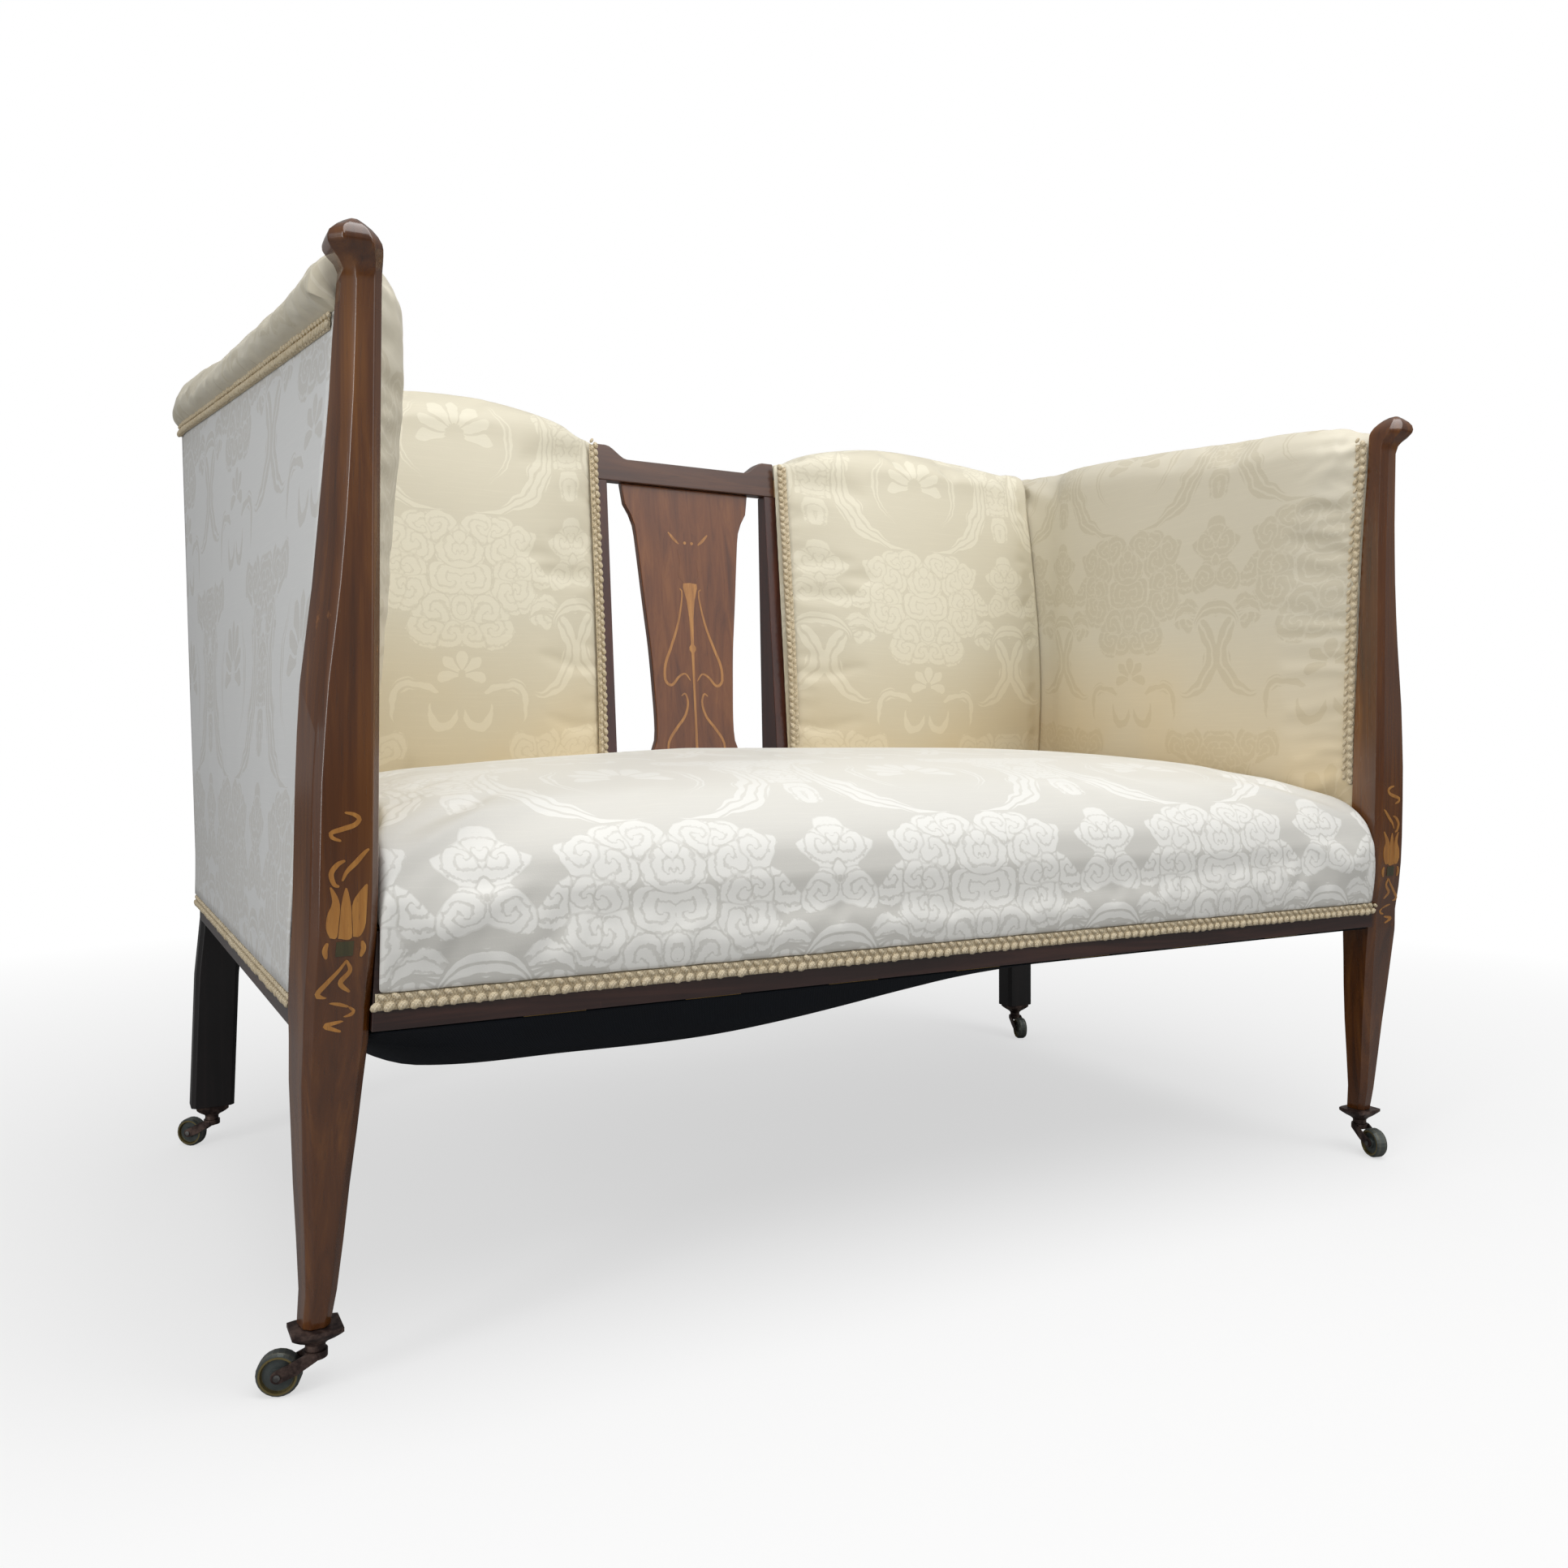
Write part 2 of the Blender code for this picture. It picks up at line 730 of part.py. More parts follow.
def make_corner_blocks(look):
    """Glued blocks inside the four corners of the seat frame."""
    middle_z = (rail_bottom_z + rail_top_z) / 2
    low_z = middle_z - corner_block_height / 2
    high_z = middle_z + corner_block_height / 2
    post_inner = post_row(high_z)[0] - gap
    post_back = max(post_row(low_z)[3], post_row(high_z)[3]) + gap
    front_y = rail_thickness + gap
    rear_y = rear_leg_back - rear_leg_chamfer - rear_rail_thickness - gap
    front_x = side_rail_x(post_back) - rail_thickness - gap
    rear_x = side_rail_x(rear_y - corner_block_leg) - rail_thickness - gap
    plans = {
        "front": [(front_x, post_back), (front_x, post_back + corner_block_leg),
                  (post_inner - corner_block_leg, front_y), (post_inner, front_y),
                  (post_inner, post_back)],
        "rear": [(rear_x, rear_y), (rear_x, rear_y - corner_block_leg),
                 (rear_x - corner_block_leg, rear_y)],
    }
    for end, plan in plans.items():
        for name, side in sides.items():
            mesh_data = bmesh.new()
            prism(mesh_data, [(side * x, y) for x, y in plan], low_z, high_z)
            add_piece(f"{end}_{name}_corner_block", mesh_data, look)


def make_stiles(look):
    """Stiles either side of the open middle; they stand on the rear rail."""
    for name, side in sides.items():
        rings = []
        for z in (rail_top_z + gap, crest_bottom_z - gap):
            front = depth_y(back_plane(z))
            back = depth_y(stile_back(z))
            rings.append([(stile_inner_x, front, z), (stile_outer_x, front, z),
                          (stile_outer_x, back, z), (stile_inner_x, back, z)])
        mesh_data = bmesh.new()
        loft(mesh_data, mirrored(rings, side))
        add_piece(f"{name}_back_stile", mesh_data, look)


def crest_top(x):
    """Top edge of the crest rail: flat middle, ogee up to the ears."""
    start = stile_inner_x - crest_ear_run
    share = min(max((abs(x) - start) / crest_ear_run, 0), 1)
    return crest_flat_z + (crest_ear_z - crest_flat_z) * (3 * share ** 2 - 2 * share ** 3)


def make_crest_rail(look):
    """Crest rail over the stiles, with raised ears."""
    half = spread(stile_inner_x - crest_ear_run, stile_inner_x, 7) + [stile_pad_x - gap]
    columns = [-x for x in reversed(half)] + half
    rings = []
    for x in columns:
        ring = []
        for z in (crest_bottom_z, crest_top(x)):
            ring.append((x, depth_y(back_plane(z)), z))
        for z in (crest_top(x), crest_bottom_z):
            ring.append((x, depth_y(back_plane(z) + crest_thickness), z))
        rings.append(ring)
    mesh_data = bmesh.new()
    loft(mesh_data, rings)
    add_piece("crest_rail", mesh_data, look)


def make_shoe(look):
    """Lower back rail between the stiles, which carries the splat."""
    rings = []
    for z in (shoe_bottom_z, shoe_top_z):
        front = depth_y(back_plane(z))
        back = front + shoe_thickness
        reach = stile_inner_x - gap
        rings.append([(-reach, front, z), (reach, front, z), (reach, back, z), (-reach, back, z)])
    mesh_data = bmesh.new()
    loft(mesh_data, rings)
    add_piece("lower_back_rail", mesh_data, look)


def splat_half(z):
    """Half width of the splat at one height."""
    share = (z - shoe_top_z) / (crest_bottom_z - shoe_top_z)
    return splat_half_width * read_shares(splat_shares, share)


def make_splat(look):
    """Vase-shaped splat between the shoe and the crest rail."""
    rings = []
    for z in spread(shoe_top_z + gap, crest_bottom_z - gap, 29):
        half = splat_half(z)
        front = depth_y(back_plane(z) + splat_recess)
        back = front + splat_thickness
        rings.append([(-half, front, z), (half, front, z), (half, back, z), (-half, back, z)])
    mesh_data = bmesh.new()
    loft(mesh_data, rings)
    add_piece("back_splat", mesh_data, look)


def pad_top(across):
    """Height of a back pad's top; across runs from the stile to the arm."""
    return back_top_z - back_pad_crown * read_shares(pad_drop_shares, across)


def pad_x(across):
    """Distance from the middle of a point across a back pad."""
    start = stile_pad_x + gap
    return start + (back_pad_outer_x - start) * across


def pad_depth(across, z):
    """How far a back pad stands in front of the raked frame."""
    share = (z - back_pad_bottom_z) / (pad_top(across) - back_pad_bottom_z)
    return back_pad_crown * read_shares(pad_across_shares, across) * read_shares(pad_up_shares, share)


def make_back_pads(look):
    """Padded parts of the back, crowned forwards and rolled over the top rail."""
    for name, side in sides.items():
        rings = []
        for across in pad_station_shares:
            x = pad_x(across)
            top = pad_top(across)
            rail = top - top_rail_cover
            rear = rear_reach - 2 * panel_thickness
            low = roll_under(1) + gap
            ring = []
            for z in spread(back_pad_bottom_z, top - top_rail_cover * pad_face_share, 11):
                ring.append((x, depth_y(back_plane(z) - gap - pad_depth(across, z)), z))
            edge = pad_depth(across, top - top_rail_cover)
            for turn in (0.35, 0.75, 1.15, 1.57):
                z = top - top_rail_cover * (1 - math.sin(turn)) * pad_edge_share
                ring.append((x, depth_y(back_plane(top) - edge * math.cos(turn)), z))
            ring.append((x, depth_y(rear - panel_thickness), top - top_rail_cover * pad_rear_shares[0]))
            ring.append((x, depth_y(rear), top - top_rail_cover * pad_rear_shares[1]))
            ring.append((x, depth_y(rear), low))
            rail_back = back_plane(rail) + top_rail_thickness + gap
            ring.append((x, depth_y(rail_back), low))
            ring.append((x, depth_y(rail_back), rail + gap))
            ring.append((x, depth_y(back_plane(rail) - gap), rail + gap))
            rings.append(ring)
        mesh_data = bmesh.new()
        loft(mesh_data, mirrored(rings, side))
        add_piece(f"{name}_back_pad", mesh_data, look, smooth=True)


def make_top_rails(look):
    """Hidden top rails of the back, from the crest rail's end to the rear leg."""
    for name, side in sides.items():
        reach = rear_leg_inner_x - gap
        rings = []
        stations = [pad_x(across) for across in pad_station_shares]
        for x in [x for x in stations if x < reach - gap] + [reach]:
            across = (x - pad_x(0)) / (pad_x(1) - pad_x(0))
            high = pad_top(across) - top_rail_cover - gap
            low = crest_bottom_z + gap
            ring = []
            for z, shift in ((low, 0), (high, 0), (high, top_rail_thickness), (low, top_rail_thickness)):
                ring.append((x, depth_y(back_plane(z) + shift), z))
            rings.append(ring)
        mesh_data = bmesh.new()
        loft(mesh_data, mirrored(rings, side))
        add_piece(f"{name}_back_top_rail", mesh_data, look)


def core_x(along):
    """Inner face of the arm's frame."""
    return arm_core_front_x + (arm_core_back_x - arm_core_front_x) * along


def arm_start(z):
    """Distance where the arm's upholstery starts behind the post."""
    neck = post_top_z * post_shares[-1][0]
    back = post_row(min(z, neck))[3]
    return back + 4 * gap


def arm_distance(z, along, end):
    """Distance back of a place along the arm, which starts behind the post."""
    start = arm_start(z)
    return start + (end - start) * along


def arm_section(along):
    """Section of an arm pad: inner face, roll over the arm rail, frame face."""
    top = roll_top(along)
    under = roll_under(along)
    face = core_x(along)
    crown = arm_crown * read_shares(arm_length_shares, along)
    panel = panel_x(under, arm_distance(under, along, rear_leg_front))
    rear_overhang = half_width - panel_x(roll_under(1), rear_leg_front)
    overhang = arm_roll_overhang + (rear_overhang - arm_roll_overhang) * along
    levels = spread(arm_pad_bottom_z, under, arm_face_points)
    points = []
    for z in levels:
        bulge = read_shares(arm_face_shares, (z - arm_pad_bottom_z) / (top - arm_pad_bottom_z))
        points.append((face - 2 * gap - crown * bulge, z))
    inner, shoulder = points[-1]
    middle = (inner + panel + overhang) / 2
    reach = (panel + overhang - inner) / 2
    for angle in (165, 140, 110, 80, 55, 30, 0):
        turn = math.radians(angle)
        z = shoulder + (top - shoulder) * math.sin(turn) ** 0.8
        if angle == 0:
            z = top - arm_roll_height * roll_side_share
        points.append((middle + reach * math.cos(turn), z))
    out_share, up_share = roll_lip_shares
    points.append((panel + overhang * out_share, under + arm_roll_height * up_share))
    points.append((panel - gap, under))
    return points + [(face, z) for z in reversed(levels)]


def lifted_section(along):
    """The roll alone, for the stretch over the rear leg."""
    points = arm_section(along)
    count = arm_face_points
    under = roll_under(along)
    start = core_x(along) - 2 * gap
    panel = panel_x(under, rear_leg_front)
    edge = points[count]
    lifted = []
    for i, point in enumerate(points):
        if i < count:
            share = i / count
            point = (start + (edge[0] - start) * share, under + (edge[1] - under) * share)
        elif i >= len(points) - count:
            share = (len(points) - i) / (count + 1)
            point = (start + (panel - start) * share, under)
        lifted.append(point)
    return lifted


def make_arm_pads(look):
    """Arm pads with rolled tops."""
    end = rear_leg_front - gap
    for name, side in sides.items():
        rings = []
        for along in arm_station_shares:
            ring = []
            for x, z in arm_section(along):
                ring.append((x, depth_y(arm_distance(z, along, end)), z))
            rings.append(ring)
        for distance in (end + gap / 3, rear_reach):
            rings.append([(x, depth_y(distance), z) for x, z in lifted_section(1)])
        mesh_data = bmesh.new()
        size = len(rings[0])
        caps = [(i, i + 1, size - 2 - i, size - 1 - i) for i in range(arm_face_points - 1)]
        caps.append(tuple(range(arm_face_points - 1, size - arm_face_points + 1)))
        loft(mesh_data, mirrored(rings, side), caps)
        add_piece(f"{name}_arm_pad", mesh_data, look, smooth=True)


def make_arm_rails(look):
    """Hidden top rails of the arms, under the rolls."""
    for name, side in sides.items():
        rings = []
        for along in spread(0, 1, 13):
            high = roll_under(along) - 2 * gap
            low = high - arm_rail_height
            distance = arm_distance(low, along, rear_leg_front - gap)
            y = depth_y(distance)
            inner = core_x(along) + gap
            outer = panel_x(high, distance) - panel_thickness - 3 * gap
            floor = panel_x(low, distance) - panel_thickness - 3 * gap
            rings.append([(inner, y, low), (floor, y, low), (outer, y, high), (inner, y, high)])
        mesh_data = bmesh.new()
        loft(mesh_data, mirrored(rings, side))
        add_piece(f"{name}_arm_rail", mesh_data, look)


def make_outside_covers(look):
    """Flat covers outside the arms and behind the back pads."""
    for name, side in sides.items():
        rings = []
        for along in spread(0, 1, 13):
            under = roll_under(min(along * rear_leg_back / rear_leg_front, 1)) - gap
            levels = [cover_bottom_z] + spread(rail_top_z, under, 6)
            outside = []
            for z in levels:
                distance = arm_distance(z, along, rear_leg_back)
                outside.append((panel_x(z, distance), depth_y(distance), z))
            ring = outside + [(x - panel_thickness, y, z) for x, y, z in reversed(outside)]
            rings.append(ring)
        mesh_data = bmesh.new()
        loft(mesh_data, mirrored(rings, side))
        add_piece(f"{name}_outside_arm_cover", mesh_data, look)
        rings = []
        top = roll_under(1) - gap
        for z in [cover_bottom_z] + spread(rail_top_z + gap, top, 7):
            leg_x = rear_leg_inner_x - gap
            edge_x = panel_x(z, rear_leg_back) - panel_thickness - gap
            outer_y = depth_y(rear_leg_back + gap)
            start_y = depth_y(rear_leg_back - rear_leg_chamfer + gap)
            if z > rail_top_z + 2 * gap:
                start_y = depth_y(max(stile_back(z), back_plane(z) + top_rail_thickness) + 2 * gap)
            thick = back_cover_thickness
            rings.append([(stile_pad_x, start_y, z), (leg_x, outer_y, z), (edge_x, outer_y, z),
                          (edge_x, outer_y + thick, z), (leg_x, outer_y + thick, z),
                          (stile_pad_x, start_y + thick, z)])
        mesh_data = bmesh.new()
        sheet_loft(mesh_data, mirrored(rings, side))
        add_piece(f"{name}_outside_back_cover", mesh_data, look)


def make_lower_back_cover(look):
    """Cover under the open middle, from the shoe down over the rear rail."""
    reach = stile_inner_x - gap
    rail_back = rear_leg_back - rear_leg_chamfer + gap
    rows = [(cover_bottom_z, rail_back), (rail_top_z + gap, rail_back)]
    rows += [(z, back_plane(z) + shoe_thickness + gap) for z in (shoe_bottom_z, shoe_top_z)]
    rings = []
    for z, distance in rows:
        front = depth_y(distance)
        back = front + back_cover_thickness
        rings.append([(-reach, front, z), (reach, front, z), (reach, back, z), (-reach, back, z)])
    mesh_data = bmesh.new()
    loft(mesh_data, rings)
    add_piece("lower_back_cover", mesh_data, look)


def seat_half():
    """Half width of the seat, which stops short of the arm pads' faces at its side's height."""
    side_z = rail_top_z + seat_crown * seat_across_shares[-1][1]
    share = (side_z - arm_pad_bottom_z) / (arm_roll_front_z - arm_pad_bottom_z)
    face = arm_core_front_x - 2 * gap - arm_crown * read_shares(arm_face_shares, share)
    return face - seat_side_clearance


def seat_edge(x):
    """Distance of the seat's back edge: deeper at the open middle."""
    start = splat_half_width
    end = stile_outer_x
    middle = back_plane(cushion_bottom_z) - gap
    share = min(max((abs(x) - start) / (end - start), 0), 1)
    return middle + (seat_back - middle) * (3 * share ** 2 - 2 * share ** 3)


def seat_height(x, distance):
    """Height of the seat's crown at a place on it."""
    low = rail_top_z
    across = read_shares(seat_across_shares, abs(x) / seat_half())
    along = (distance + seat_front_bulge) / (seat_edge(0) + seat_front_bulge)
    share = read_shares(seat_crown_shares, along)
    return low + (seat_top_z - low) * share * (across + (1 - across) * (1 - along) * 0.5)


def seat_ring(x, back):
    """Lengthwise section of the seat at one distance from the middle."""
    front_low = cover_bottom_z
    lip = gap - gimp_thickness - 2 * gap
    ring = [(x, depth_y(0), front_low), (x, depth_y(lip), front_low)]
    for share, out in seat_front_shares:
        z = front_low + (rail_top_z - front_low) * share
        ring.append((x, depth_y(lip - (seat_front_bulge + lip) * out), z))
    for share, _ in seat_crown_shares:
        distance = -seat_front_bulge + (back + seat_front_bulge) * share
        ring.append((x, depth_y(distance), seat_height(x, distance)))
    ring.append((x, depth_y(back), cushion_bottom_z))
    ring.append((x, depth_y(0), cushion_bottom_z))
    return ring


def make_seat(look):
    """Sprung seat with its crown and bulging front, between the arm pads and posts."""
    outer = [seat_half() * share for share in seat_station_shares]
    half = [(x, seat_edge(x)) for x in outer]
    post_back = min(post_row(z)[3] for z in (cover_bottom_z, rail_top_z, seat_top_z)) - gap
    post_inner = post_inner_x - gap
    half += [(seat_half() + gap, post_back), (post_inner, post_back)]
    columns = [(-x, back) for x, back in reversed(half[1:])] + half
    mesh_data = bmesh.new()
    loft(mesh_data, [seat_ring(x, back) for x, back in columns])
    add_piece("seat_cushion", mesh_data, look, smooth=True)


def make_webbing(look):
    """Webbing straps under the rails, both ways, as one lattice."""
    high = web_top_z
    low = high - web_thickness
    rear_y = rear_leg_back - rear_leg_chamfer - side_rail_joint
    crosswise = bmesh.new()
    for x in spread(-web_reach_share * post_inner_x, web_reach_share * post_inner_x, strap_count):
        block(crosswise, (x - web_width / 2, side_rail_joint, low), (x + web_width / 2, rear_y, high))
    webbing = add_piece("seat_webbing", crosswise, look)
    lengthwise = bmesh.new()
    reach = side_rail_front_x - side_rail_joint
    for y in spread(*[rear_leg_front * share for share in strap_row_shares], cross_strap_count):
        block(lengthwise, (-reach, y - web_width / 2, low - gap), (reach, y + web_width / 2, high - gap))
    join(webbing, add_piece("lengthwise_straps", lengthwise, look))


def make_springs(look):
    """Eight waisted springs on the webbing, their tops laced together both ways."""
    mesh_data = bmesh.new()
    base = web_top_z + gap
    top = rail_top_z - gap
    reach = web_reach_share * post_inner_x
    columns = spread(-reach, reach, strap_count)[::2]
    rows = [rear_leg_front * share for share in spring_row_shares]
    for x in columns:
        for y in rows:
            profile = []
            for share in spread(0, 1, 5):
                radius = spring_waist + (spring_radius - spring_waist) * (2 * share - 1) ** 2
                profile.append((radius, base + (top - base) * share))
            turned(mesh_data, profile, 12, (x, depth_y(y)))
    springs = add_piece("seat_springs", mesh_data, look, smooth=True)
    laces = bmesh.new()
    for y in rows:
        block(laces, (columns[0], y - lace_width / 2, top - 3 * lace_width),
              (columns[-1], y + lace_width / 2, top - 2 * lace_width))
    join(springs, add_piece("lengthwise_laces", laces, look))
    laces = bmesh.new()
    for x in columns:
        block(laces, (x - lace_width / 2, rows[0], top - 1.5 * lace_width),
              (x + lace_width / 2, rows[1], top - lace_width / 2))
    join(springs, add_piece("crosswise_laces", laces, look))


def make_hessian(look):
    """Cloth over the springs, tacked on the rails' top and notched round the legs."""
    wide = side_rail_front_x - side_rail_joint
    narrow = post_inner_x - 2 * gap
    post_back = post_row(rail_top_z)[3] + 2 * gap
    rear = rear_leg_front - 2 * gap
    stile_x = stile_outer_x + 2 * gap
    half = [(narrow, side_rail_joint), (narrow, post_back), (wide, post_back), (wide, rear),
            (stile_x, rear), (stile_x, back_plane(rail_top_z) - gap)]
    plan = half + [(-x, y) for x, y in reversed(half)]
    low = rail_top_z + gap
    mesh_data = bmesh.new()
    prism(mesh_data, plan, low, low + hessian_thickness)
    add_piece("seat_hessian", mesh_data, look)


def make_lining(look):
    """Thin black cloth under the seat, sagging on the left."""
    high = web_top_z - web_thickness - 2 * gap
    front = side_rail_joint
    rear = rear_leg_back - rear_leg_chamfer - side_rail_joint
    hang = spread(rail_bottom_z - lining_sag, rail_bottom_z, 7)
    post_back = max(post_row(z)[3] for z in hang) + 2 * gap
    wide = side_rail_front_x - side_rail_joint
    post_x = post_row(rail_bottom_z)[0] - 2 * gap
    leg_x = rear_leg_inner_x - 2 * gap
    rows = [(front, post_x), (post_back, post_x), (post_back + gap, wide)]
    rows += [(y, wide) for y in spread(post_back + web_width, rear_leg_front - web_width, 9)]
    rows += [(rear_leg_front - 3 * gap, wide), (rear_leg_front - 2 * gap, leg_x), (rear, leg_x)]
    rings = []
    for y, reach in rows:
        along = (y - front) / (rear - front)
        top = []
        for share in lining_station_shares:
            x = -reach + 2 * reach * share
            place = (x + wide) / (2 * wide)
            fall = lining_sag * read_shares(lining_across_shares, place) * read_shares(lining_back_shares, along)
            top.append((x, depth_y(y), high - fall))
        under = [(x, y_, z - lining_thickness) for x, y_, z in reversed(top)]
        rings.append(top + under)
    mesh_data = bmesh.new()
    sheet_loft(mesh_data, rings)
    add_piece("bottom_lining", mesh_data, look, smooth=True)


def make_gimp(look):
    """Beaded braid along the front rail, round the arms and beside the stiles."""
    mesh_data = bmesh.new()
    middle_z = cover_bottom_z - gap - gimp_width / 2
    reach = post_row(middle_z - gimp_width / 2)[0] - 2 * gap
    reach = min(reach, post_row(middle_z + gimp_width / 2)[0] - 2 * gap)
    ends = [(-reach, depth_y(gap), middle_z), (reach, depth_y(gap), middle_z)]
    loft(mesh_data, ribbon_rings(ends, [(0, 0, 1)] * 2, [(0, -1, 0)] * 2, gimp_width, gimp_thickness))
    add_piece("front_gimp", mesh_data, look)
    for name, side in sides.items():
        mesh_data = bmesh.new()
        stations = spread(gimp_start_share, gimp_end_share, 12)
        points = []
        outs = []
        for along in stations:
            under = roll_under(min(along * rear_leg_back / rear_leg_front, 1))
            z = under - gimp_width / 2 - gap
            distance = arm_distance(z, along, rear_leg_back)
            face = panel_x(z - gimp_width / 2, distance) + gap
            points.append((side * face, depth_y(distance), z))
            outs.append((side, 0, 0))
        ups = [(0, 0, 1)] * len(points)
        loft(mesh_data, ribbon_rings(points, ups, outs, gimp_width, gimp_thickness))
        add_piece(f"{name}_arm_gimp", mesh_data, look)
        mesh_data = bmesh.new()
        points = []
        for z in spread(shoe_top_z + gimp_width, crest_ear_z - gimp_width / 2, 17):
            x = stile_pad_x + gap + gimp_width / 2
            depth = pad_depth((gimp_width - gap) / (pad_x(1) - pad_x(0)), z)
            points.append((side * x, depth_y(back_plane(z) - 4 * gap - depth), z))
        count = len(points)
        loft(mesh_data, ribbon_rings(points, [(1, 0, 0)] * count, [(0, -1, 0)] * count, gimp_width, gimp_thickness))
        add_piece(f"{name}_stile_gimp", mesh_data, look)


def cylinder(name, radius, start, end, look, along_y=False):
    """Plain round piece between two heights, or lying along Y."""
    mesh_data = bmesh.new()
    turned(mesh_data, [(radius, start), (radius, end)], caster_segments)
    if along_y:
        for vertex in mesh_data.verts:
            x, y, z = vertex.co
            vertex.co = (x, z, y)
    return add_piece(name, mesh_data, look, smooth=True)


def leg_foot(corner):
    """Centre of a leg's foot: x and distance back."""
    side = sides[corner.split("_")[1]]
    if corner.startswith("front"):
        inner, outer, front, back = post_row(leg_bottom_z)
        return side * (inner + outer) / 2, (front + back) / 2
    middle = (rear_leg_inner(leg_bottom_z) + rear_leg_x(leg_bottom_z)) / 2
    return side * middle, (rear_leg_front + rear_leg_back) / 2 + rear_leg_kick


def make_socket(corner, look):
    """Moulded socket plate under a leg, bored for the swivel pin."""
    width, depth = front_socket_width, front_socket_depth
    if corner.startswith("rear"):
        width, depth = rear_socket_width, rear_socket_depth
    top = leg_bottom_z - gap
    foot = horn_hub_top_z + gap
    rim = top - socket_rim_thickness
    rows = [(socket_shares[0][0], top)]
    rows += [(square, rim - (rim - foot) * down) for square, down in socket_shares]
    rings = []
    for square, z in rows:
        ring = []
        for i in range(caster_segments):
            turn = 2 * math.pi * (i + 0.5) / caster_segments
            x, y = math.cos(turn), math.sin(turn)
            reach = 1 / max(abs(x) / (width / 2), abs(y) / (depth / 2))
            corner_reach = min(reach, width * socket_corner_share)
            radius = socket_neck_radius + (corner_reach - socket_neck_radius) * square
            ring.append((radius * x, radius * y, z))
        rings.append(ring)
    mesh_data = bmesh.new()
    loft(mesh_data, rings)
    return add_piece(f"{corner}_caster_socket", mesh_data, look, smooth=True)


def make_horn(corner, look):
    """Swivel horn: a hub under the socket and two arms down to the axle."""
    hub_low = horn_hub_top_z - horn_hub_thickness
    horn = cylinder(f"{corner}_caster_horn", horn_hub_radius, hub_low, horn_hub_top_z, look)
    reach = caster_trail
    eye = horn_eye_radius
    root, shoulder = [horn_hub_radius * share for share in horn_root_shares]
    knee = (reach * horn_knee_shares[0], wheel_radius + eye * horn_knee_shares[1])
    throat = (reach * horn_throat_shares[0], wheel_radius + eye * horn_throat_shares[1])
    outline = [(root, hub_low), (root, horn_hub_top_z - gap), (shoulder, horn_hub_top_z - gap), knee]
    for i in range(9):
        turn = math.radians(70 - 190 * i / 8)
        outline.append((reach + eye * math.cos(turn), wheel_radius + eye * math.sin(turn)))
    outline.append(throat)
    for end in (-1, 1):
        near = end * horn_arm_gap / 2
        far = end * (horn_arm_gap / 2 + horn_arm_thickness)
        mesh_data = bmesh.new()
        loft(mesh_data, [[(x, y, z) for x, z in outline] for y in (near, far)])
        arm = add_piece(f"{corner}_horn_arm_{end}", mesh_data, look)
        join(horn, arm)
    bore = swivel_pin_radius + running_clearance
    overrun = horn_hub_thickness
    turn_bore = 1 / math.cos(math.pi / caster_segments)
    cut(horn, cylinder(f"{corner}_horn_bore", bore * turn_bore, hub_low - overrun,
                       horn_hub_top_z + overrun, look))
    length = horn_arm_gap / 2 + horn_arm_thickness + axle_head_length
    axle_bore = cylinder(f"{corner}_axle_bore", (axle_radius + running_clearance) * turn_bore,
                         -length, length, look, along_y=True)
    for vertex in axle_bore.data.vertices:
        vertex.co.x += caster_trail
        vertex.co.z += wheel_radius
    cut(horn, axle_bore)
    return horn


def make_swivel_pin(corner, look):
    """Pin that hangs the horn under the socket, headed below the horn's hub."""
    hub_low = horn_hub_top_z - horn_hub_thickness
    top = leg_bottom_z - gap * 2
    profile = [(swivel_head_radius, hub_low - gap - swivel_head_thickness),
               (swivel_head_radius, hub_low - gap), (swivel_pin_radius, hub_low - gap),
               (swivel_pin_radius, top)]
    mesh_data = bmesh.new()
    turned(mesh_data, profile, caster_segments)
    return add_piece(f"{corner}_swivel_pin", mesh_data, look, smooth=True)


def make_wheel(corner, look):
    """Turned wheel with a rounded tread and a raised hub."""
    half = wheel_width / 2
    hub = wheel_hub_width / 2
    bore = (axle_radius + running_clearance) / math.cos(math.pi / caster_segments)
    rows = [(bore, hub), (wheel_hub_radius, hub),
            (wheel_hub_radius * wheel_fillet_share, half * wheel_shares[0][1])]
    rows += [(wheel_radius * out, half * side) for out, side in wheel_shares]
    profile = rows + [(radius, -y) for radius, y in reversed(rows)]
    mesh_data = bmesh.new()
    count = caster_segments
    columns = []
    for i in range(count):
        turn = 2 * math.pi * i / count
        columns.append([mesh_data.verts.new((radius * math.cos(turn), y, radius * math.sin(turn)))
                        for radius, y in profile])
    for i in range(count):
        left, right = columns[i], columns[(i + 1) % count]
        for k in range(len(profile)):
            n = (k + 1) % len(profile)
            mesh_data.faces.new((left[k], left[n], right[n], right[k]))
    return add_piece(f"{corner}_caster_wheel", mesh_data, look, smooth=True)


def make_axle(corner, look):
    """Axle with riveted ends outside the horn's arms."""
    out = horn_arm_gap / 2 + horn_arm_thickness + gap
    end = out + axle_head_length
    profile = [(axle_head_radius, -end), (axle_head_radius, -out), (axle_radius, -out),
               (axle_radius, out), (axle_head_radius, out), (axle_head_radius, end)]
    mesh_data = bmesh.new()
    turned(mesh_data, profile, caster_segments)
    for vertex in mesh_data.verts:
        x, y, z = vertex.co
        vertex.co = (x, z, y)
    return add_piece(f"{corner}_caster_axle", mesh_data, look, smooth=True)


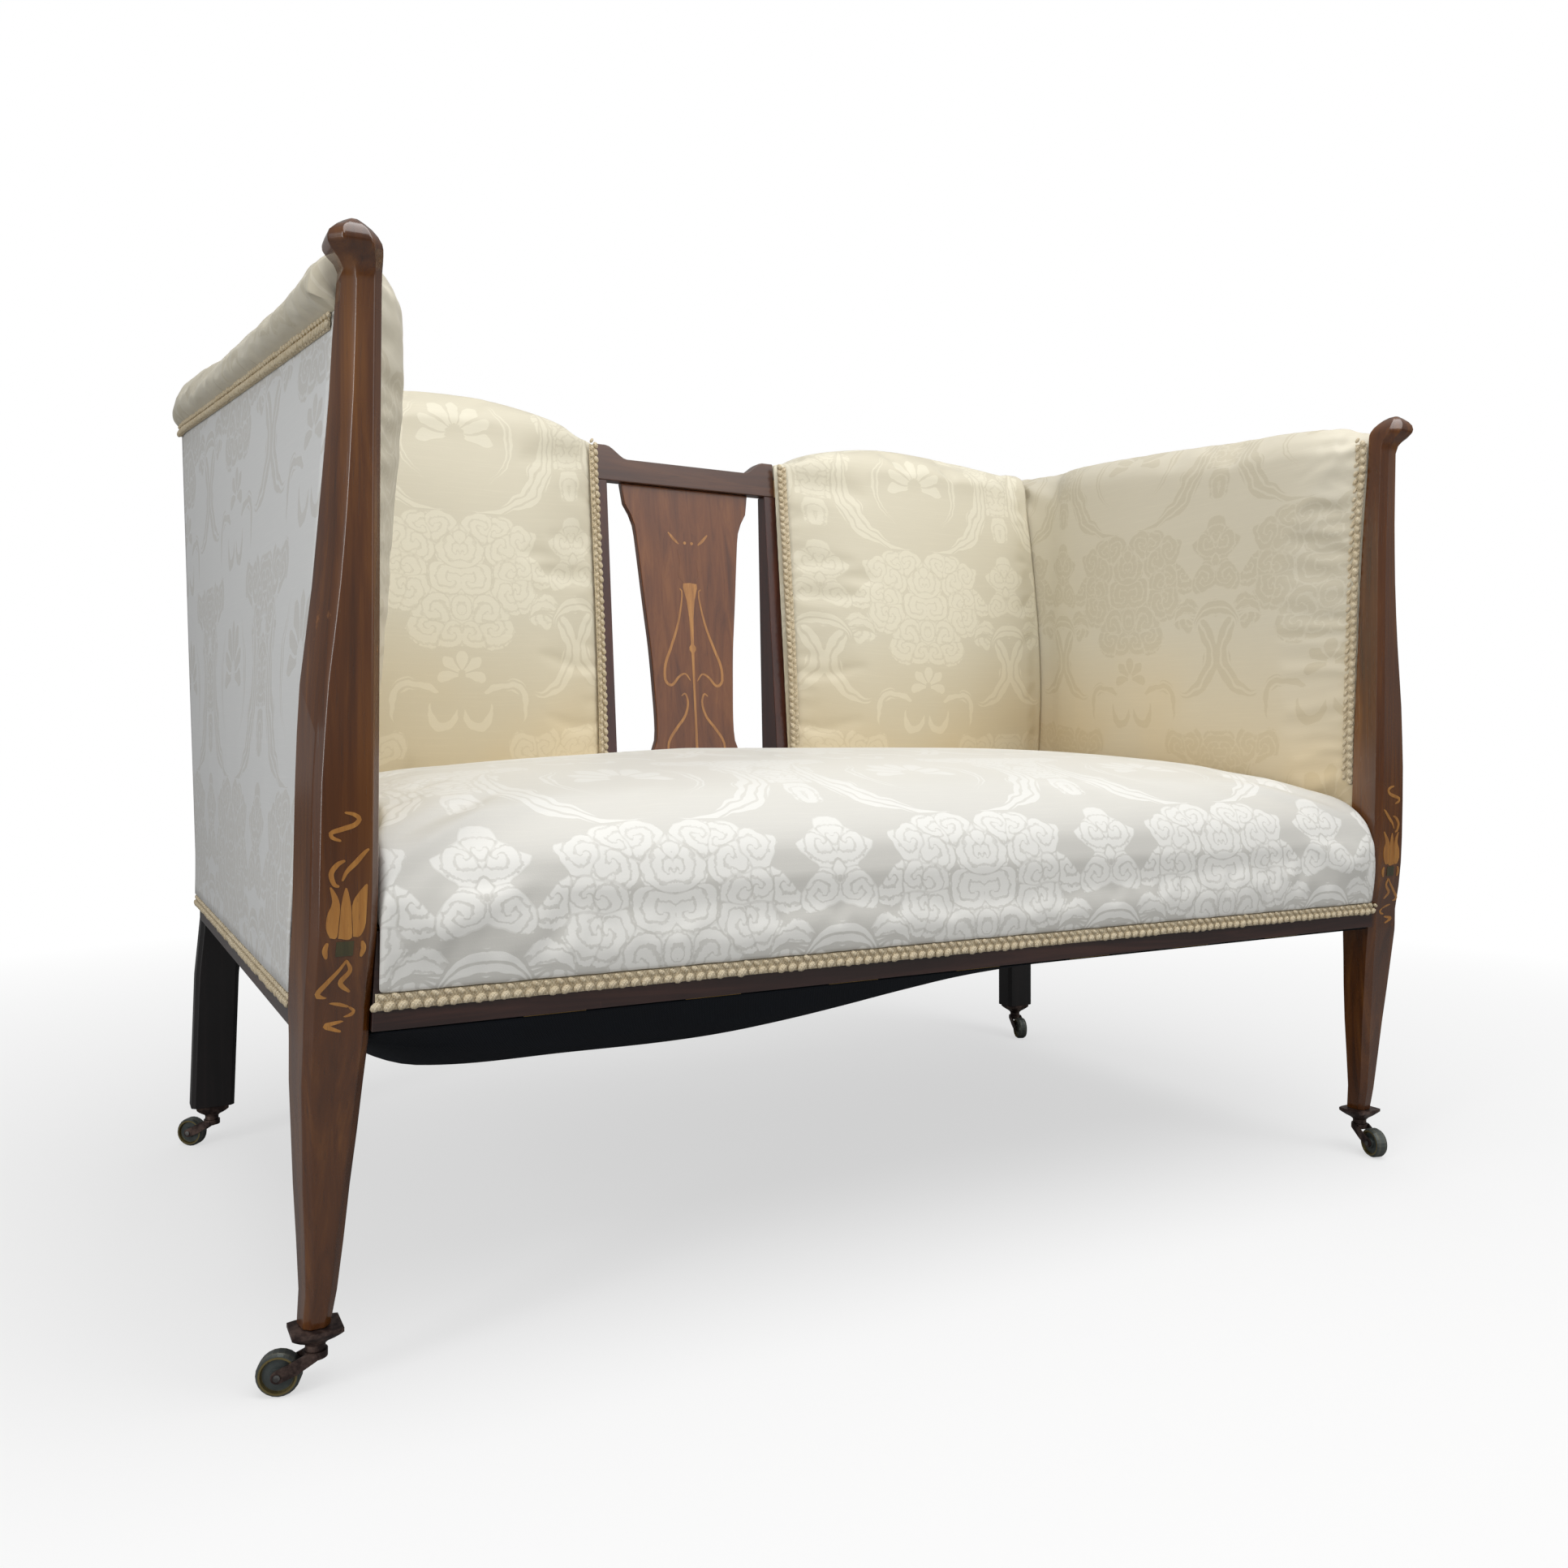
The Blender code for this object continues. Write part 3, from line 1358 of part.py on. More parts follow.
def make_casters(brass, steel, wheel_look):
    """Four swivel casters, each turned to its own heading."""
    for corner, heading in caster_headings.items():
        x, distance = leg_foot(corner)
        fixed = bpy.data.objects.new(f"{corner}_foot", None)
        fixed.location = (x, depth_y(distance), 0)
        bpy.context.scene.collection.objects.link(fixed)
        swivel = bpy.data.objects.new(f"{corner}_swivel", None)
        swivel.location = fixed.location
        swivel.rotation_euler = (0, 0, math.radians(heading))
        bpy.context.scene.collection.objects.link(swivel)
        socket = make_socket(corner, brass)
        bore = (swivel_pin_radius + running_clearance) / math.cos(math.pi / caster_segments)
        socket_bore = cylinder(f"{corner}_socket_bore", bore, horn_hub_top_z - horn_hub_thickness,
                               leg_bottom_z + socket_rim_thickness, brass)
        cut(socket, socket_bore)
        for piece in (socket, make_swivel_pin(corner, steel), socket_bore):
            piece.parent = fixed
        before = set(bpy.data.objects)
        make_horn(corner, brass)
        for piece in set(bpy.data.objects) - before:
            piece.parent = swivel
        for piece in (make_wheel(corner, wheel_look), make_axle(corner, steel)):
            piece.parent = swivel
            piece.location = (caster_trail, 0, wheel_radius)


def main():
    for old in list(bpy.data.objects):
        bpy.data.objects.remove(old)
    mahogany = material("mahogany", (0.09, 0.03, 0.015), 0.25, 0)
    dark_wood = material("dark_mahogany", (0.02, 0.008, 0.007), 0.35, 0)
    beech = material("frame_beech", (0.45, 0.3, 0.16), 0.7, 0)
    damask = material("cream_damask", (0.75, 0.68, 0.5), 0.6, 0)
    braid = material("cream_gimp", (0.68, 0.58, 0.4), 0.8, 0)
    lining = material("black_lining", (0.01, 0.014, 0.02), 0.85, 0)
    web = material("jute_web", (0.35, 0.25, 0.13), 0.9, 0)
    hessian = material("hessian", (0.4, 0.3, 0.18), 0.9, 0)
    steel = material("spring_steel", (0.3, 0.3, 0.32), 0.4, 1)
    brass = material("aged_brass", (0.16, 0.1, 0.05), 0.4, 1)
    wheel_look = material("caster_wheel", (0.12, 0.11, 0.1), 0.4, 1)

    make_front_posts(mahogany)
    make_rear_legs(dark_wood)
    make_front_rail(dark_wood)
    make_rear_rail(dark_wood)
    make_side_rails(dark_wood)
    make_corner_blocks(beech)
    make_stiles(mahogany)
    make_crest_rail(mahogany)
    make_shoe(beech)
    make_splat(mahogany)
    make_top_rails(beech)
    make_arm_rails(beech)
    make_back_pads(damask)
    make_arm_pads(damask)
    make_outside_covers(damask)
    make_lower_back_cover(damask)
    make_seat(damask)
    make_webbing(web)
    make_springs(steel)
    make_hessian(hessian)
    make_lining(lining)
    make_gimp(braid)
    make_casters(brass, steel, wheel_look)


main()
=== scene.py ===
# Inlaid mahogany parlour settee for two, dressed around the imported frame
import math

import bmesh
import bpy
import numpy as np
from mathutils import Matrix, Vector


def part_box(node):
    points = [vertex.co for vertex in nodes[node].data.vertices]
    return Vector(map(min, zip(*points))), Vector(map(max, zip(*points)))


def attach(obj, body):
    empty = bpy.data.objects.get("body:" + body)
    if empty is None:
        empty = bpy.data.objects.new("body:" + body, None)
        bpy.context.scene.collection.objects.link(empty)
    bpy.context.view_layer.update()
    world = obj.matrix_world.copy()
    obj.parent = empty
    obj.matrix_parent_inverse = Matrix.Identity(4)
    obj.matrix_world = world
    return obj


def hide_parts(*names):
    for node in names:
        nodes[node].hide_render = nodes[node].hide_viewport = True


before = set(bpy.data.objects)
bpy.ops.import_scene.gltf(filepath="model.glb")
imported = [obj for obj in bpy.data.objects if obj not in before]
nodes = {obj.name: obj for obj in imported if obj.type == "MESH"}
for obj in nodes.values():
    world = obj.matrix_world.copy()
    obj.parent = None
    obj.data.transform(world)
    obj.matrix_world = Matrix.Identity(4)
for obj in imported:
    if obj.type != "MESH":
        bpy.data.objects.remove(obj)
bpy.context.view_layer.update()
scene = bpy.context.scene
sides = {"left": -1, "right": 1}
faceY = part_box("front_seat_rail")[0].y - 0.0003  # the front posts' face; distances run back from it

# The frame's own sizes that the covers follow, in metres
body = {
    "railTop": 0.339, "coverLow": 0.2945, "top": 0.9,
    "legFront": 0.6645, "legBack": 0.6965, "planeStart": 0.6042, "rake": 0.112, "gap": 0.0003,
    "sideRail": (0.5955, 0.6075), "panelTop": (0.568, 0.621), "frameStart": 0.0387,
}


def place(x, distance, z):
    return (x, faceY + distance, z)


def backPlane(z):
    return body["planeStart"] + (z - body["railTop"]) * body["rake"]


def tableCurve(rows):
    # smooth curve through (place, value) rows, for numbers or arrays
    xs, ys = (np.array(column, float) for column in zip(*rows))
    index = np.arange(len(xs))
    before, after = np.maximum(index - 1, 0), np.minimum(index + 1, len(xs) - 1)
    slopes = (ys[after] - ys[before]) / (xs[after] - xs[before])

    def read(values):
        values = np.clip(values, xs[0], xs[-1])
        i = np.clip(np.searchsorted(xs, values, side="right") - 1, 0, len(xs) - 2)
        run = xs[i + 1] - xs[i]
        t = (values - xs[i]) / run
        return ((2 * t**3 - 3 * t**2 + 1) * ys[i] + (3 * t**2 - 2 * t**3) * ys[i + 1]
                + ((t**3 - 2 * t**2 + t) * slopes[i] + (t**3 - t**2) * slopes[i + 1]) * run)
    return read


def spacedPath(points, count):
    # the same polyline with evenly spaced points, and its length at each
    points = np.array(points, float)
    steps = np.linalg.norm(np.diff(points, axis=0), axis=1)
    run = np.concatenate([[0], np.cumsum(steps)])
    places = np.linspace(0, run[-1], count)
    return np.stack([np.interp(places, run, points[:, k]) for k in range(points.shape[1])], 1), places


def roundPath(points, count):
    # smooth curve through the points, evenly spaced
    points = np.array(points, float)
    run = np.concatenate([[0], np.cumsum(np.linalg.norm(np.diff(points, axis=0), axis=1))])
    fine = np.linspace(0, run[-1], count * 4)
    curves = [tableCurve(list(zip(run, points[:, k])))(fine) for k in range(points.shape[1])]
    return spacedPath(np.stack(curves, 1), count)[0]


def paint(red, green, blue):
    # a colour as picked from the screen, made linear
    linear = [((c / 255 + 0.055) / 1.055) ** 2.4 if c > 10 else c / 3295 for c in (red, green, blue)]
    return (*linear, 1)


class Wire:
    # one output of a node; sums on it add Math nodes
    def __init__(self, finish, socket):
        self.finish, self.socket = finish, socket

    def calc(self, operation, *values, clamp=False):
        return self.finish.node("ShaderNodeMath", {"operation": operation, "use_clamp": clamp}, values)

    def __add__(self, other): return self.calc("ADD", self, other)
    def __radd__(self, other): return self.calc("ADD", other, self)
    def __sub__(self, other): return self.calc("SUBTRACT", self, other)
    def __rsub__(self, other): return self.calc("SUBTRACT", other, self)
    def __mul__(self, other): return self.calc("MULTIPLY", self, other)
    def __rmul__(self, other): return self.calc("MULTIPLY", other, self)
    def __truediv__(self, other): return self.calc("DIVIDE", self, other)
    def __rtruediv__(self, other): return self.calc("DIVIDE", other, self)
    def __abs__(self): return self.calc("ABSOLUTE", self)

    def above(self, level, sharpness):
        # 0 below the level, 1 above it, with a soft step
        return self.calc("MULTIPLY_ADD", self, sharpness, -level * sharpness, clamp=True)


class Tree:
    # a node tree, for materials and for geometry nodes alike
    def __init__(self, tree):
        self.tree = tree

    def node(self, kind, settings=None, inputs=(), output=0):
        made = self.tree.nodes.new(kind)
        for key, value in (settings or {}).items():
            if key == "stops":
                while len(made.color_ramp.elements) < len(value):
                    made.color_ramp.elements.new(1)
                for element, (spot, colour) in zip(made.color_ramp.elements, value):
                    element.position, element.color = spot, colour
            else:
                setattr(made, key, value)
        for key, value in inputs.items() if isinstance(inputs, dict) else enumerate(inputs):
            if isinstance(value, Wire):
                self.tree.links.new(value.socket, made.inputs[key])
            elif value is not None:
                made.inputs[key].default_value = value
        return Wire(self, made.outputs[output])

    def split(self, vector):
        made = self.node("ShaderNodeSeparateXYZ", inputs=[vector]).socket.node
        return [Wire(self, made.outputs[k]) for k in range(3)]

    def mix(self, factor, low, high, blend="MIX"):
        return self.node("ShaderNodeMix", {"data_type": "RGBA", "blend_type": blend},
                         {0: factor, 6: low, 7: high}, 2)

    def noise(self, vector, scale, detail=2.0, roughness=0.5, distortion=0.0, output=0):
        return self.node("ShaderNodeTexNoise", None, {"Vector": vector, "Scale": scale, "Detail": detail,
                                                      "Roughness": roughness, "Distortion": distortion},
                                                      output)

    def stretched(self, vector, scale, rotation=(0, 0, 0), location=(0, 0, 0)):
        return self.node("ShaderNodeMapping", None, {"Vector": vector, "Scale": scale, "Rotation": rotation,
                                                     "Location": location})


class Finish(Tree):
    def __init__(self, name, plain=None):
        self.material = bpy.data.materials.new(name)
        self.material.use_nodes = True
        super().__init__(self.material.node_tree)
        self.shader = self.tree.nodes["Principled BSDF"]
        for label, value in (plain or {}).items():
            self.shader.inputs[label].default_value = value

    def coords(self, kind="Object"):
        return self.node("ShaderNodeTexCoord", output=kind)

    def feed(self, label, value):
        if isinstance(value, Wire):
            self.tree.links.new(value.socket, self.shader.inputs[label])
        else:
            self.shader.inputs[label].default_value = value

    def relief(self, height, strength, distance):
        self.feed("Normal", self.node("ShaderNodeBump", None, {"Height": height, "Strength": strength,
                                                              "Distance": distance}))


# Woods: grain is how many figure cells per metre lie along x, y and z
woods = {
    "postMahogany": {"grain": (60, 60, 3.0), "dark": (48, 22, 4), "mid": (86, 46, 12), "light": (124, 76, 26),
                     "roughness": 0.26, "coat": 0.8, "wear": 0.55},
    "splatMahogany": {"grain": (80, 80, 4), "dark": (76, 36, 10), "mid": (106, 58, 22),
                      "light": (130, 80, 36),
                      "roughness": 0.34, "coat": 0.4, "wear": 0.2},
    "crestMahogany": {"grain": (4, 70, 70), "dark": (50, 24, 10), "mid": (72, 38, 18), "light": (94, 56, 30),
                      "roughness": 0.34, "coat": 0.4, "wear": 0.2},
    "stileMahogany": {"grain": (70, 70, 4), "dark": (40, 12, 4), "mid": (62, 22, 8), "light": (84, 38, 16),
                      "roughness": 0.34, "coat": 0.35, "wear": 0.2},
    "railMahogany": {"grain": (4, 5, 80), "dark": (24, 12, 10), "mid": (46, 26, 22), "light": (72, 44, 36),
                     "roughness": 0.36, "coat": 0.35, "wear": 0.35},
    "legEbonised": {"grain": (70, 70, 4), "dark": (7, 5, 6), "mid": (15, 11, 12), "light": (34, 26, 26),
                    "roughness": 0.45, "coat": 0.12, "wear": 0.35},
    "frameBeech": {"grain": (6, 60, 60), "dark": (150, 112, 70), "mid": (178, 140, 94),
                   "light": (200, 164, 118),
                   "roughness": 0.7, "coat": 0.0, "wear": 0.1},
    "inlaySatinwood": {"grain": (120, 120, 10), "dark": (132, 84, 34), "mid": (166, 112, 50),
                       "light": (192, 138, 68),
                       "roughness": 0.32, "coat": 0.5, "wear": 0.1},
    "inlayStained": {"grain": (120, 120, 10), "dark": (40, 38, 18), "mid": (58, 54, 28),
                     "light": (80, 72, 36),
                     "roughness": 0.36, "coat": 0.5, "wear": 0.1},
}


def woodFinish(name):
    wood = woods[name]
    finish = Finish(name, {"Coat Weight": wood["coat"], "Coat Roughness": 0.14})
    spot = finish.coords()
    along = finish.stretched(spot, wood["grain"])
    figure = finish.noise(along, 1.0, 5.0, 0.62, 0.9)
    broad = finish.noise(spot, 7.0, 2.0)
    pores = finish.noise(finish.stretched(along, (9, 9, 9)), 1.0, 2.0, 0.6).above(0.62, 6)
    tone = finish.node("ShaderNodeValToRGB",
                       {"stops": [(0.28, paint(*wood["dark"])), (0.5, paint(*wood["mid"])),
                                                        (0.74, paint(*wood["light"]))]},
                       [figure * 0.75 + broad * 0.25])
    scuffs = finish.noise(finish.stretched(spot, (1, 1, 0.35)), 95.0, 4.0, 0.7).above(0.66, 9)
    marks = scuffs * finish.noise(spot, 13.0, 1.0).above(0.5, 5) * wood["wear"]
    tone = finish.mix(pores * 0.45, tone, paint(*[c * 0.45 for c in wood["dark"]]))
    finish.feed("Base Color", finish.mix(marks, tone,
                                         paint(*[min(c * 1.35 + 12, 255) for c in wood["light"]])))
    finish.feed("Roughness", wood["roughness"] + pores * 0.14 + marks * 0.3 + (broad - 0.5) * 0.12)
    finish.relief(figure * 0.4 - pores - marks * 0.6, 0.12, 0.0004)
    return finish.material


# Damask: one tile of a mirrored pattern; places and sizes in metres on the cloth
damask = {
    "width": 0.31, "height": 0.46, "warp": 0.022, "ground": (214, 207, 186), "figure": (226, 220, 200),
    # the warm yellow of the painted bounce light on the lower cloth
    "warmBounce": (226, 188, 110),
    "lobes": 30, "lobe": 0.8, "seam": 0.02, "petals": 3.4,  # flower heads per metre, petals per head
    "bouquets": [  # centre, half width, half height
        ((0.0, 0.355), 0.12, 0.075), ((0.03, 0.43), 0.05, 0.04), ((0.155, 0.12), 0.045, 0.09),
        ((0.08, 0.18), 0.045, 0.026), ((0.155, 0.41), 0.03, 0.05)],
    "shells": [((0.0, 0.098), 0.05, 11), ((0.0, 0.262), 0.03, 7)],  # centre, radius, ribs
    "scrolls": [  # centre, inner and outer radius, turn, how far round, veins
        ((0.0, 0.094), 0.062, 0.074, 90, 110, 1), ((0.02, 0.098), 0.082, 0.118, 118, 68, 4),
        ((0.1, 0.29), 0.03, 0.066, 100, 110, 3), ((0.055, 0.225), 0.016, 0.036, 20, 120, 2),
        ((0.155, 0.31), 0.024, 0.052, 10, 100, 3)],
    "crescents": [((0.021, 0.218), 0.02, (0.0, 0.01))],
}


def damaskFigure(cloth, uv):
    # 1 on the woven figure and 0 on the satin ground
    def vector(operation, *values, output=0):
        return cloth.node("ShaderNodeVectorMath", {"operation": operation}, values, output)

    def voronoi(point, feature, output):
        return cloth.node("ShaderNodeTexVoronoi", {"feature": feature, "voronoi_dimensions": "2D"},
                          {"Vector": point, "Scale": damask["lobes"], "Randomness": 1.0}, output)

    width, height = damask["width"], damask["height"]
    across, up, _ = cloth.split(uv)
    folded = across.calc("PINGPONG", across, width / 2)
    tile = cloth.node("ShaderNodeCombineXYZ", None, [folded, up.calc("WRAP", up, height, 0.0), 0.0])
    drift = vector("SUBTRACT", cloth.noise(tile, 24.0, 2.0, 0.6, output="Color"), (0.5, 0.5, 0.5))
    fray = cloth.noise(tile, 170.0, 2.0, 0.6)
    tile = vector("MULTIPLY_ADD", drift, (damask["warp"], damask["warp"], 0), tile)

    # bouquets: whole flower heads whose middles lie inside the bouquet's outline
    middle = voronoi(tile, "F1", "Position")
    away = voronoi(tile, "F1", "Distance")
    inside = None
    for centre, halfWidth, halfHeight in damask["bouquets"]:
        spot = vector("DIVIDE", vector("SUBTRACT", middle, (*centre, 0)), (halfWidth, halfHeight, 1))
        here = (1 - vector("LENGTH", spot, output="Value")).above(0, 40)
        inside = here if inside is None else inside.calc("MAXIMUM", inside, here)
    heads = inside * (damask["lobe"] + (fray - 0.5) * 0.2 - away).above(0, 16)
    seams = voronoi(tile, "DISTANCE_TO_EDGE", "Distance").above(damask["seam"], 22)
    spoke = vector("SUBTRACT", tile, middle)
    a, b, _ = cloth.split(spoke)
    curl = a.calc("ARCTAN2", a, b) * 0.33 + away * damask["petals"] + (fray - 0.5) * 0.8
    petals = abs(curl.calc("SINE", curl * math.pi)).above(0.28, 3)
    figure = heads * (seams * 0.5 + 0.5) * (petals * 0.6 + 0.4)

    def polar(centre):
        spoke = vector("SUBTRACT", tile, (*centre, 0))
        a, b, _ = cloth.split(spoke)
        return vector("LENGTH", spoke, output="Value"), a.calc("ARCTAN2", a, b)

    for centre, near, far, turn, span, veins in damask["scrolls"]:
        away, angle = polar(centre)
        swing = angle - math.radians(turn)
        bend = abs(swing.calc("WRAP", swing, math.pi, -math.pi))
        taper = (1 - bend / math.radians(span)) * ((far - near) / 2)
        half = taper - abs(away - (near + far) / 2)
        line = (away - near) * (veins / (far - near))
        vein = abs(line.calc("FRACT", line) - 0.5).above(0.1, 8)
        figure = figure * (1 - (half + 0.003).above(0, 500)) + half.above(0, 500) * (vein * 0.75 + 0.25)
    for centre, radius, ribs in damask["shells"]:
        away, angle = polar(centre)
        rays = abs(angle.calc("COSINE", angle * (ribs / 2)))
        size = away / (rays * (0.3 * radius) + 0.7 * radius)
        fan = rays.above(0.25, 6) * size.above(0.2, 14) * (2.1 - abs(angle)).above(0, 6)
        shape = (1 - size).above(0, 12) * fan
        figure = figure * (1 - (1.15 - size).above(0, 12)) + shape
    for centre, radius, offset in damask["crescents"]:
        away, _ = polar(centre)
        hollow, _ = polar((centre[0] + offset[0], centre[1] + offset[1]))
        shape = (radius - away).above(0, 500) * (hollow - radius * 0.86).above(0, 500)
        figure = figure * (1 - (radius * 1.2 - away).above(0, 500)) + shape
    return (figure + (fray - 0.5) * 0.4).above(0.28, 2.2)


def damaskFinish(name, ground, figure, warmBounce=0.5, front=0.0):
    cloth = Finish(name, {"Sheen Weight": 0.12, "Sheen Roughness": 0.4, "Specular IOR Level": 0.3})
    uv = cloth.coords("UV")
    shape = damaskFigure(cloth, uv)
    slub = cloth.noise(cloth.stretched(uv, (14, 420, 1)), 1.0, 3.0, 0.6)
    threads = cloth.noise(cloth.stretched(uv, (900, 900, 1)), 1.0, 1.0)
    spot = cloth.coords()
    height = cloth.split(spot)[2]
    base = paint(*ground)
    if front:  # painted shade: the satin ground is made darker where the seat's front rolls under, as its sheen faces away from the light above
        base = cloth.mix((0.45 - height).above(0, 14) * front, base, paint(*[c * 0.84 for c in ground]))
    tone = cloth.mix(shape, base, paint(*figure))
    tone = cloth.mix((slub - 0.5) * 0.5 + (threads - 0.5) * 0.25, tone, paint(250, 246, 236), "SOFT_LIGHT")
    # painted warm bounce light: the cloth is warmed towards yellow below about 0.62 m, in blotches, standing
    # in for light bounced between the cream seat and pads
    if warmBounce:
        warm = cloth.noise(spot, 4.5, 2.0).above(0.4, 3)
        tone = cloth.mix((0.62 - height).above(0, 5.5) * (warm * 0.5 + 0.5) * warmBounce, tone,
                         paint(*damask["warmBounce"]))
    cloth.feed("Base Color", tone)
    cloth.feed("Roughness", 0.48 + shape * 0.09 + (threads - 0.5) * 0.1)
    cloth.relief(shape * 0.35 + slub * 0.5 + threads * 0.5, 0.2, 0.0006)
    return cloth.material


def plainCloth(name, light, dark, threads, roughness, relief):
    # a plain weave: two crossing sets of threads per metre
    cloth = Finish(name, {"Specular IOR Level": 0.25})
    spot = cloth.coords()
    x, y, z = cloth.split(spot)
    weave = x.calc("SINE", x * threads) * y.calc("SINE", (y + z * 0.7) * threads)
    mottle = cloth.noise(spot, 22.0, 3.0)
    fuzz = cloth.noise(spot, 600.0, 2.0)
    tone = cloth.mix(weave * 0.25 + mottle * 0.5 + fuzz * 0.2, paint(*dark), paint(*light))
    cloth.feed("Base Color", tone)
    cloth.feed("Roughness", roughness + (mottle - 0.5) * 0.1)
    cloth.relief(weave + fuzz, relief, 0.0005)
    return cloth.material


def metalFinish(name, bright, dull, roughness, metallic=0.9, tarnish=90.0):
    metal = Finish(name)
    spot = metal.coords()
    patches = metal.noise(spot, tarnish, 4.0, 0.65)
    fine = metal.noise(spot, 700.0, 2.0)
    metal.feed("Base Color", metal.mix(patches.above(0.42, 4), paint(*dull), paint(*bright)))
    metal.feed("Metallic", metallic - patches * 0.35)
    metal.feed("Roughness", roughness + (1 - patches) * 0.25 + fine * 0.08)
    metal.relief(patches + fine * 0.4, 0.2, 0.0003)
    return metal.material


def wheelFinish(name, hub):
    # slate-grey faces with a brass ring, worn bright at the tread
    metal = Finish(name)
    spot = metal.coords()
    spoke = metal.node("ShaderNodeVectorMath", {"operation": "SUBTRACT"}, [spot, tuple(hub)])
    reach = metal.node("ShaderNodeVectorMath", {"operation": "LENGTH"}, [spoke], "Value")
    patches = metal.noise(spot, 160.0, 3.0)
    ring = reach.above(0.0118, 1500) * (1 - reach.above(0.0149, 1500))
    tone = metal.mix(patches, paint(56, 62, 62), paint(96, 102, 100))
    tone = metal.mix(ring, tone, paint(140, 126, 84))
    metal.feed("Base Color", metal.mix(reach.above(0.0158, 1500), tone, paint(108, 108, 98)))
    metal.feed("Metallic", 0.55 + ring * 0.3)
    metal.feed("Roughness", 0.34 + patches * 0.2 - ring * 0.1)
    metal.relief(patches, 0.2, 0.0003)
    return metal.material


finishes = {name: woodFinish(name) for name in woods}
finishes["damask"] = damaskFinish("damask", damask["ground"], damask["figure"])
# lit and shaded copies of the one cream damask: the seat's is whiter and cooler as painted light from above;
# the arm pads' and outside covers' figure is darker than the ground as painted sheen; the outside covers are
# greyer as painted shade
finishes["damaskSeat"] = damaskFinish("damaskSeat", (223, 221, 214), (230, 229, 224), 0.0, 0.55)
finishes["damaskArm"] = damaskFinish("damaskArm", (212, 205, 186), (203, 195, 174), 0.55)
finishes["damaskOutside"] = damaskFinish("damaskOutside", (220, 221, 220), (207, 206, 202), 0.0)
finishes["gimp"] = plainCloth("gimpThread", (232, 222, 200), (190, 172, 138), 2400, 0.7, 0.5)
finishes["lining"] = plainCloth("blackCambric", (22, 30, 40), (9, 13, 19), 2600, 0.85, 0.3)
finishes["jute"] = plainCloth("juteWebbing", (180, 148, 96), (120, 92, 54), 1900, 0.9, 0.6)
finishes["hessian"] = plainCloth("hessianCloth", (186, 158, 110), (138, 110, 70), 1500, 0.92, 0.6)
finishes["steel"] = metalFinish("springSteel", (120, 120, 124), (70, 66, 64), 0.35)
finishes["brass"] = metalFinish("agedBrass", (112, 92, 84), (56, 44, 42), 0.3, 0.85)
finishes["pin"] = metalFinish("pinSteel", (140, 140, 138), (78, 76, 74), 0.3)
print("finishes made:", len(finishes))
def newObject(name, data):
    made = bpy.data.objects.new(name, data)
    scene.collection.objects.link(made)
    return made

def meshPiece(name, corners, faces, finish, uv=None, smooth=True):
    mesh = bpy.data.meshes.new(name)
    mesh.from_pydata([tuple(c) for c in corners], [], [tuple(f) for f in faces])
    if uv is not None:
        layer = mesh.uv_layers.new(name="UVMap")
        index = np.zeros(len(mesh.loops), int)
        mesh.loops.foreach_get("vertex_index", index)
        layer.data.foreach_set("uv", np.array(uv, np.float32)[index].ravel())
    mesh.materials.append(finishes[finish])
    mesh.validate()
    if smooth:
        mesh.shade_smooth()
    return newObject(name, mesh)


def outward(piece):
    # faces made to point out of a closed mesh
    work = bmesh.new()
    work.from_mesh(piece.data)
    bmesh.ops.recalc_face_normals(work, faces=work.faces)
    work.to_mesh(piece.data)
    work.free()


def lofted(name, outer, inner, uv, finish):
    # closed form from rows of an outer and an inner path of equal length: (rows, points, 3)
    rows, count = outer.shape[:2]
    ring = np.concatenate([outer, inner[:, ::-1]], 1)
    size = 2 * count
    uvRing = np.concatenate([uv, uv[:, ::-1]], 1).reshape(-1, 2)
    faces = []
    for r in range(rows - 1):
        for k in range(size):
            n = (k + 1) % size
            faces.append((r * size + k, r * size + n, (r + 1) * size + n, (r + 1) * size + k))
    for r in (0, rows - 1):
        for k in range(count - 1):
            faces.append((r * size + k, r * size + k + 1, r * size + size - 2 - k, r * size + size - 1 - k))
    piece = meshPiece(name, ring.reshape(-1, 3), faces, finish, uvRing)
    outward(piece)
    return piece


def refine(piece, levels=1, simple=False):
    step = piece.modifiers.new("subdivision", "SUBSURF")
    step.levels = step.render_levels = levels
    step.subdivision_type = "SIMPLE" if simple else "CATMULL_CLARK"
def enter(piece, slot, *replaced):
    # its place in the frame: the nodes that it stands for and its body; the material slot is not used
    if replaced:
        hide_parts(*replaced)
    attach(piece, "frame")


def vertexData(mesh, kind):
    values = np.zeros(len(mesh.vertices) * 3)
    mesh.vertices.foreach_get(kind, values)
    return values.reshape(-1, 3)


def ramp(count, first, last):
    # along a row of points: 0 at both ends and 1 from so many points after the first and before the last
    steps = np.arange(count)
    return np.minimum(np.minimum(steps / first, steps[::-1] / last), 1)


def skinOnly(values):
    # values for the skin, and 0 for the lining behind it
    return np.concatenate([values, np.zeros_like(values)], 1)


def onBoth(values):
    return np.concatenate([values, values], 1)


def pucker(piece, weights, depth, pattern=1.0):
    # small pulls along the normals, where weights and pattern are per vertex
    mesh = piece.data
    pull = (weights * pattern * depth).ravel()[:, None]
    mesh.vertices.foreach_set("co", (vertexData(mesh, "co") + vertexData(mesh, "normal") * pull).ravel())
    mesh.update()


# Cloth of the covers while they are stuffed
stuffing = {"frames": 20, "quality": 4, "mass": 0.25, "stretch": 18, "shear": 8, "bend": 2.0}


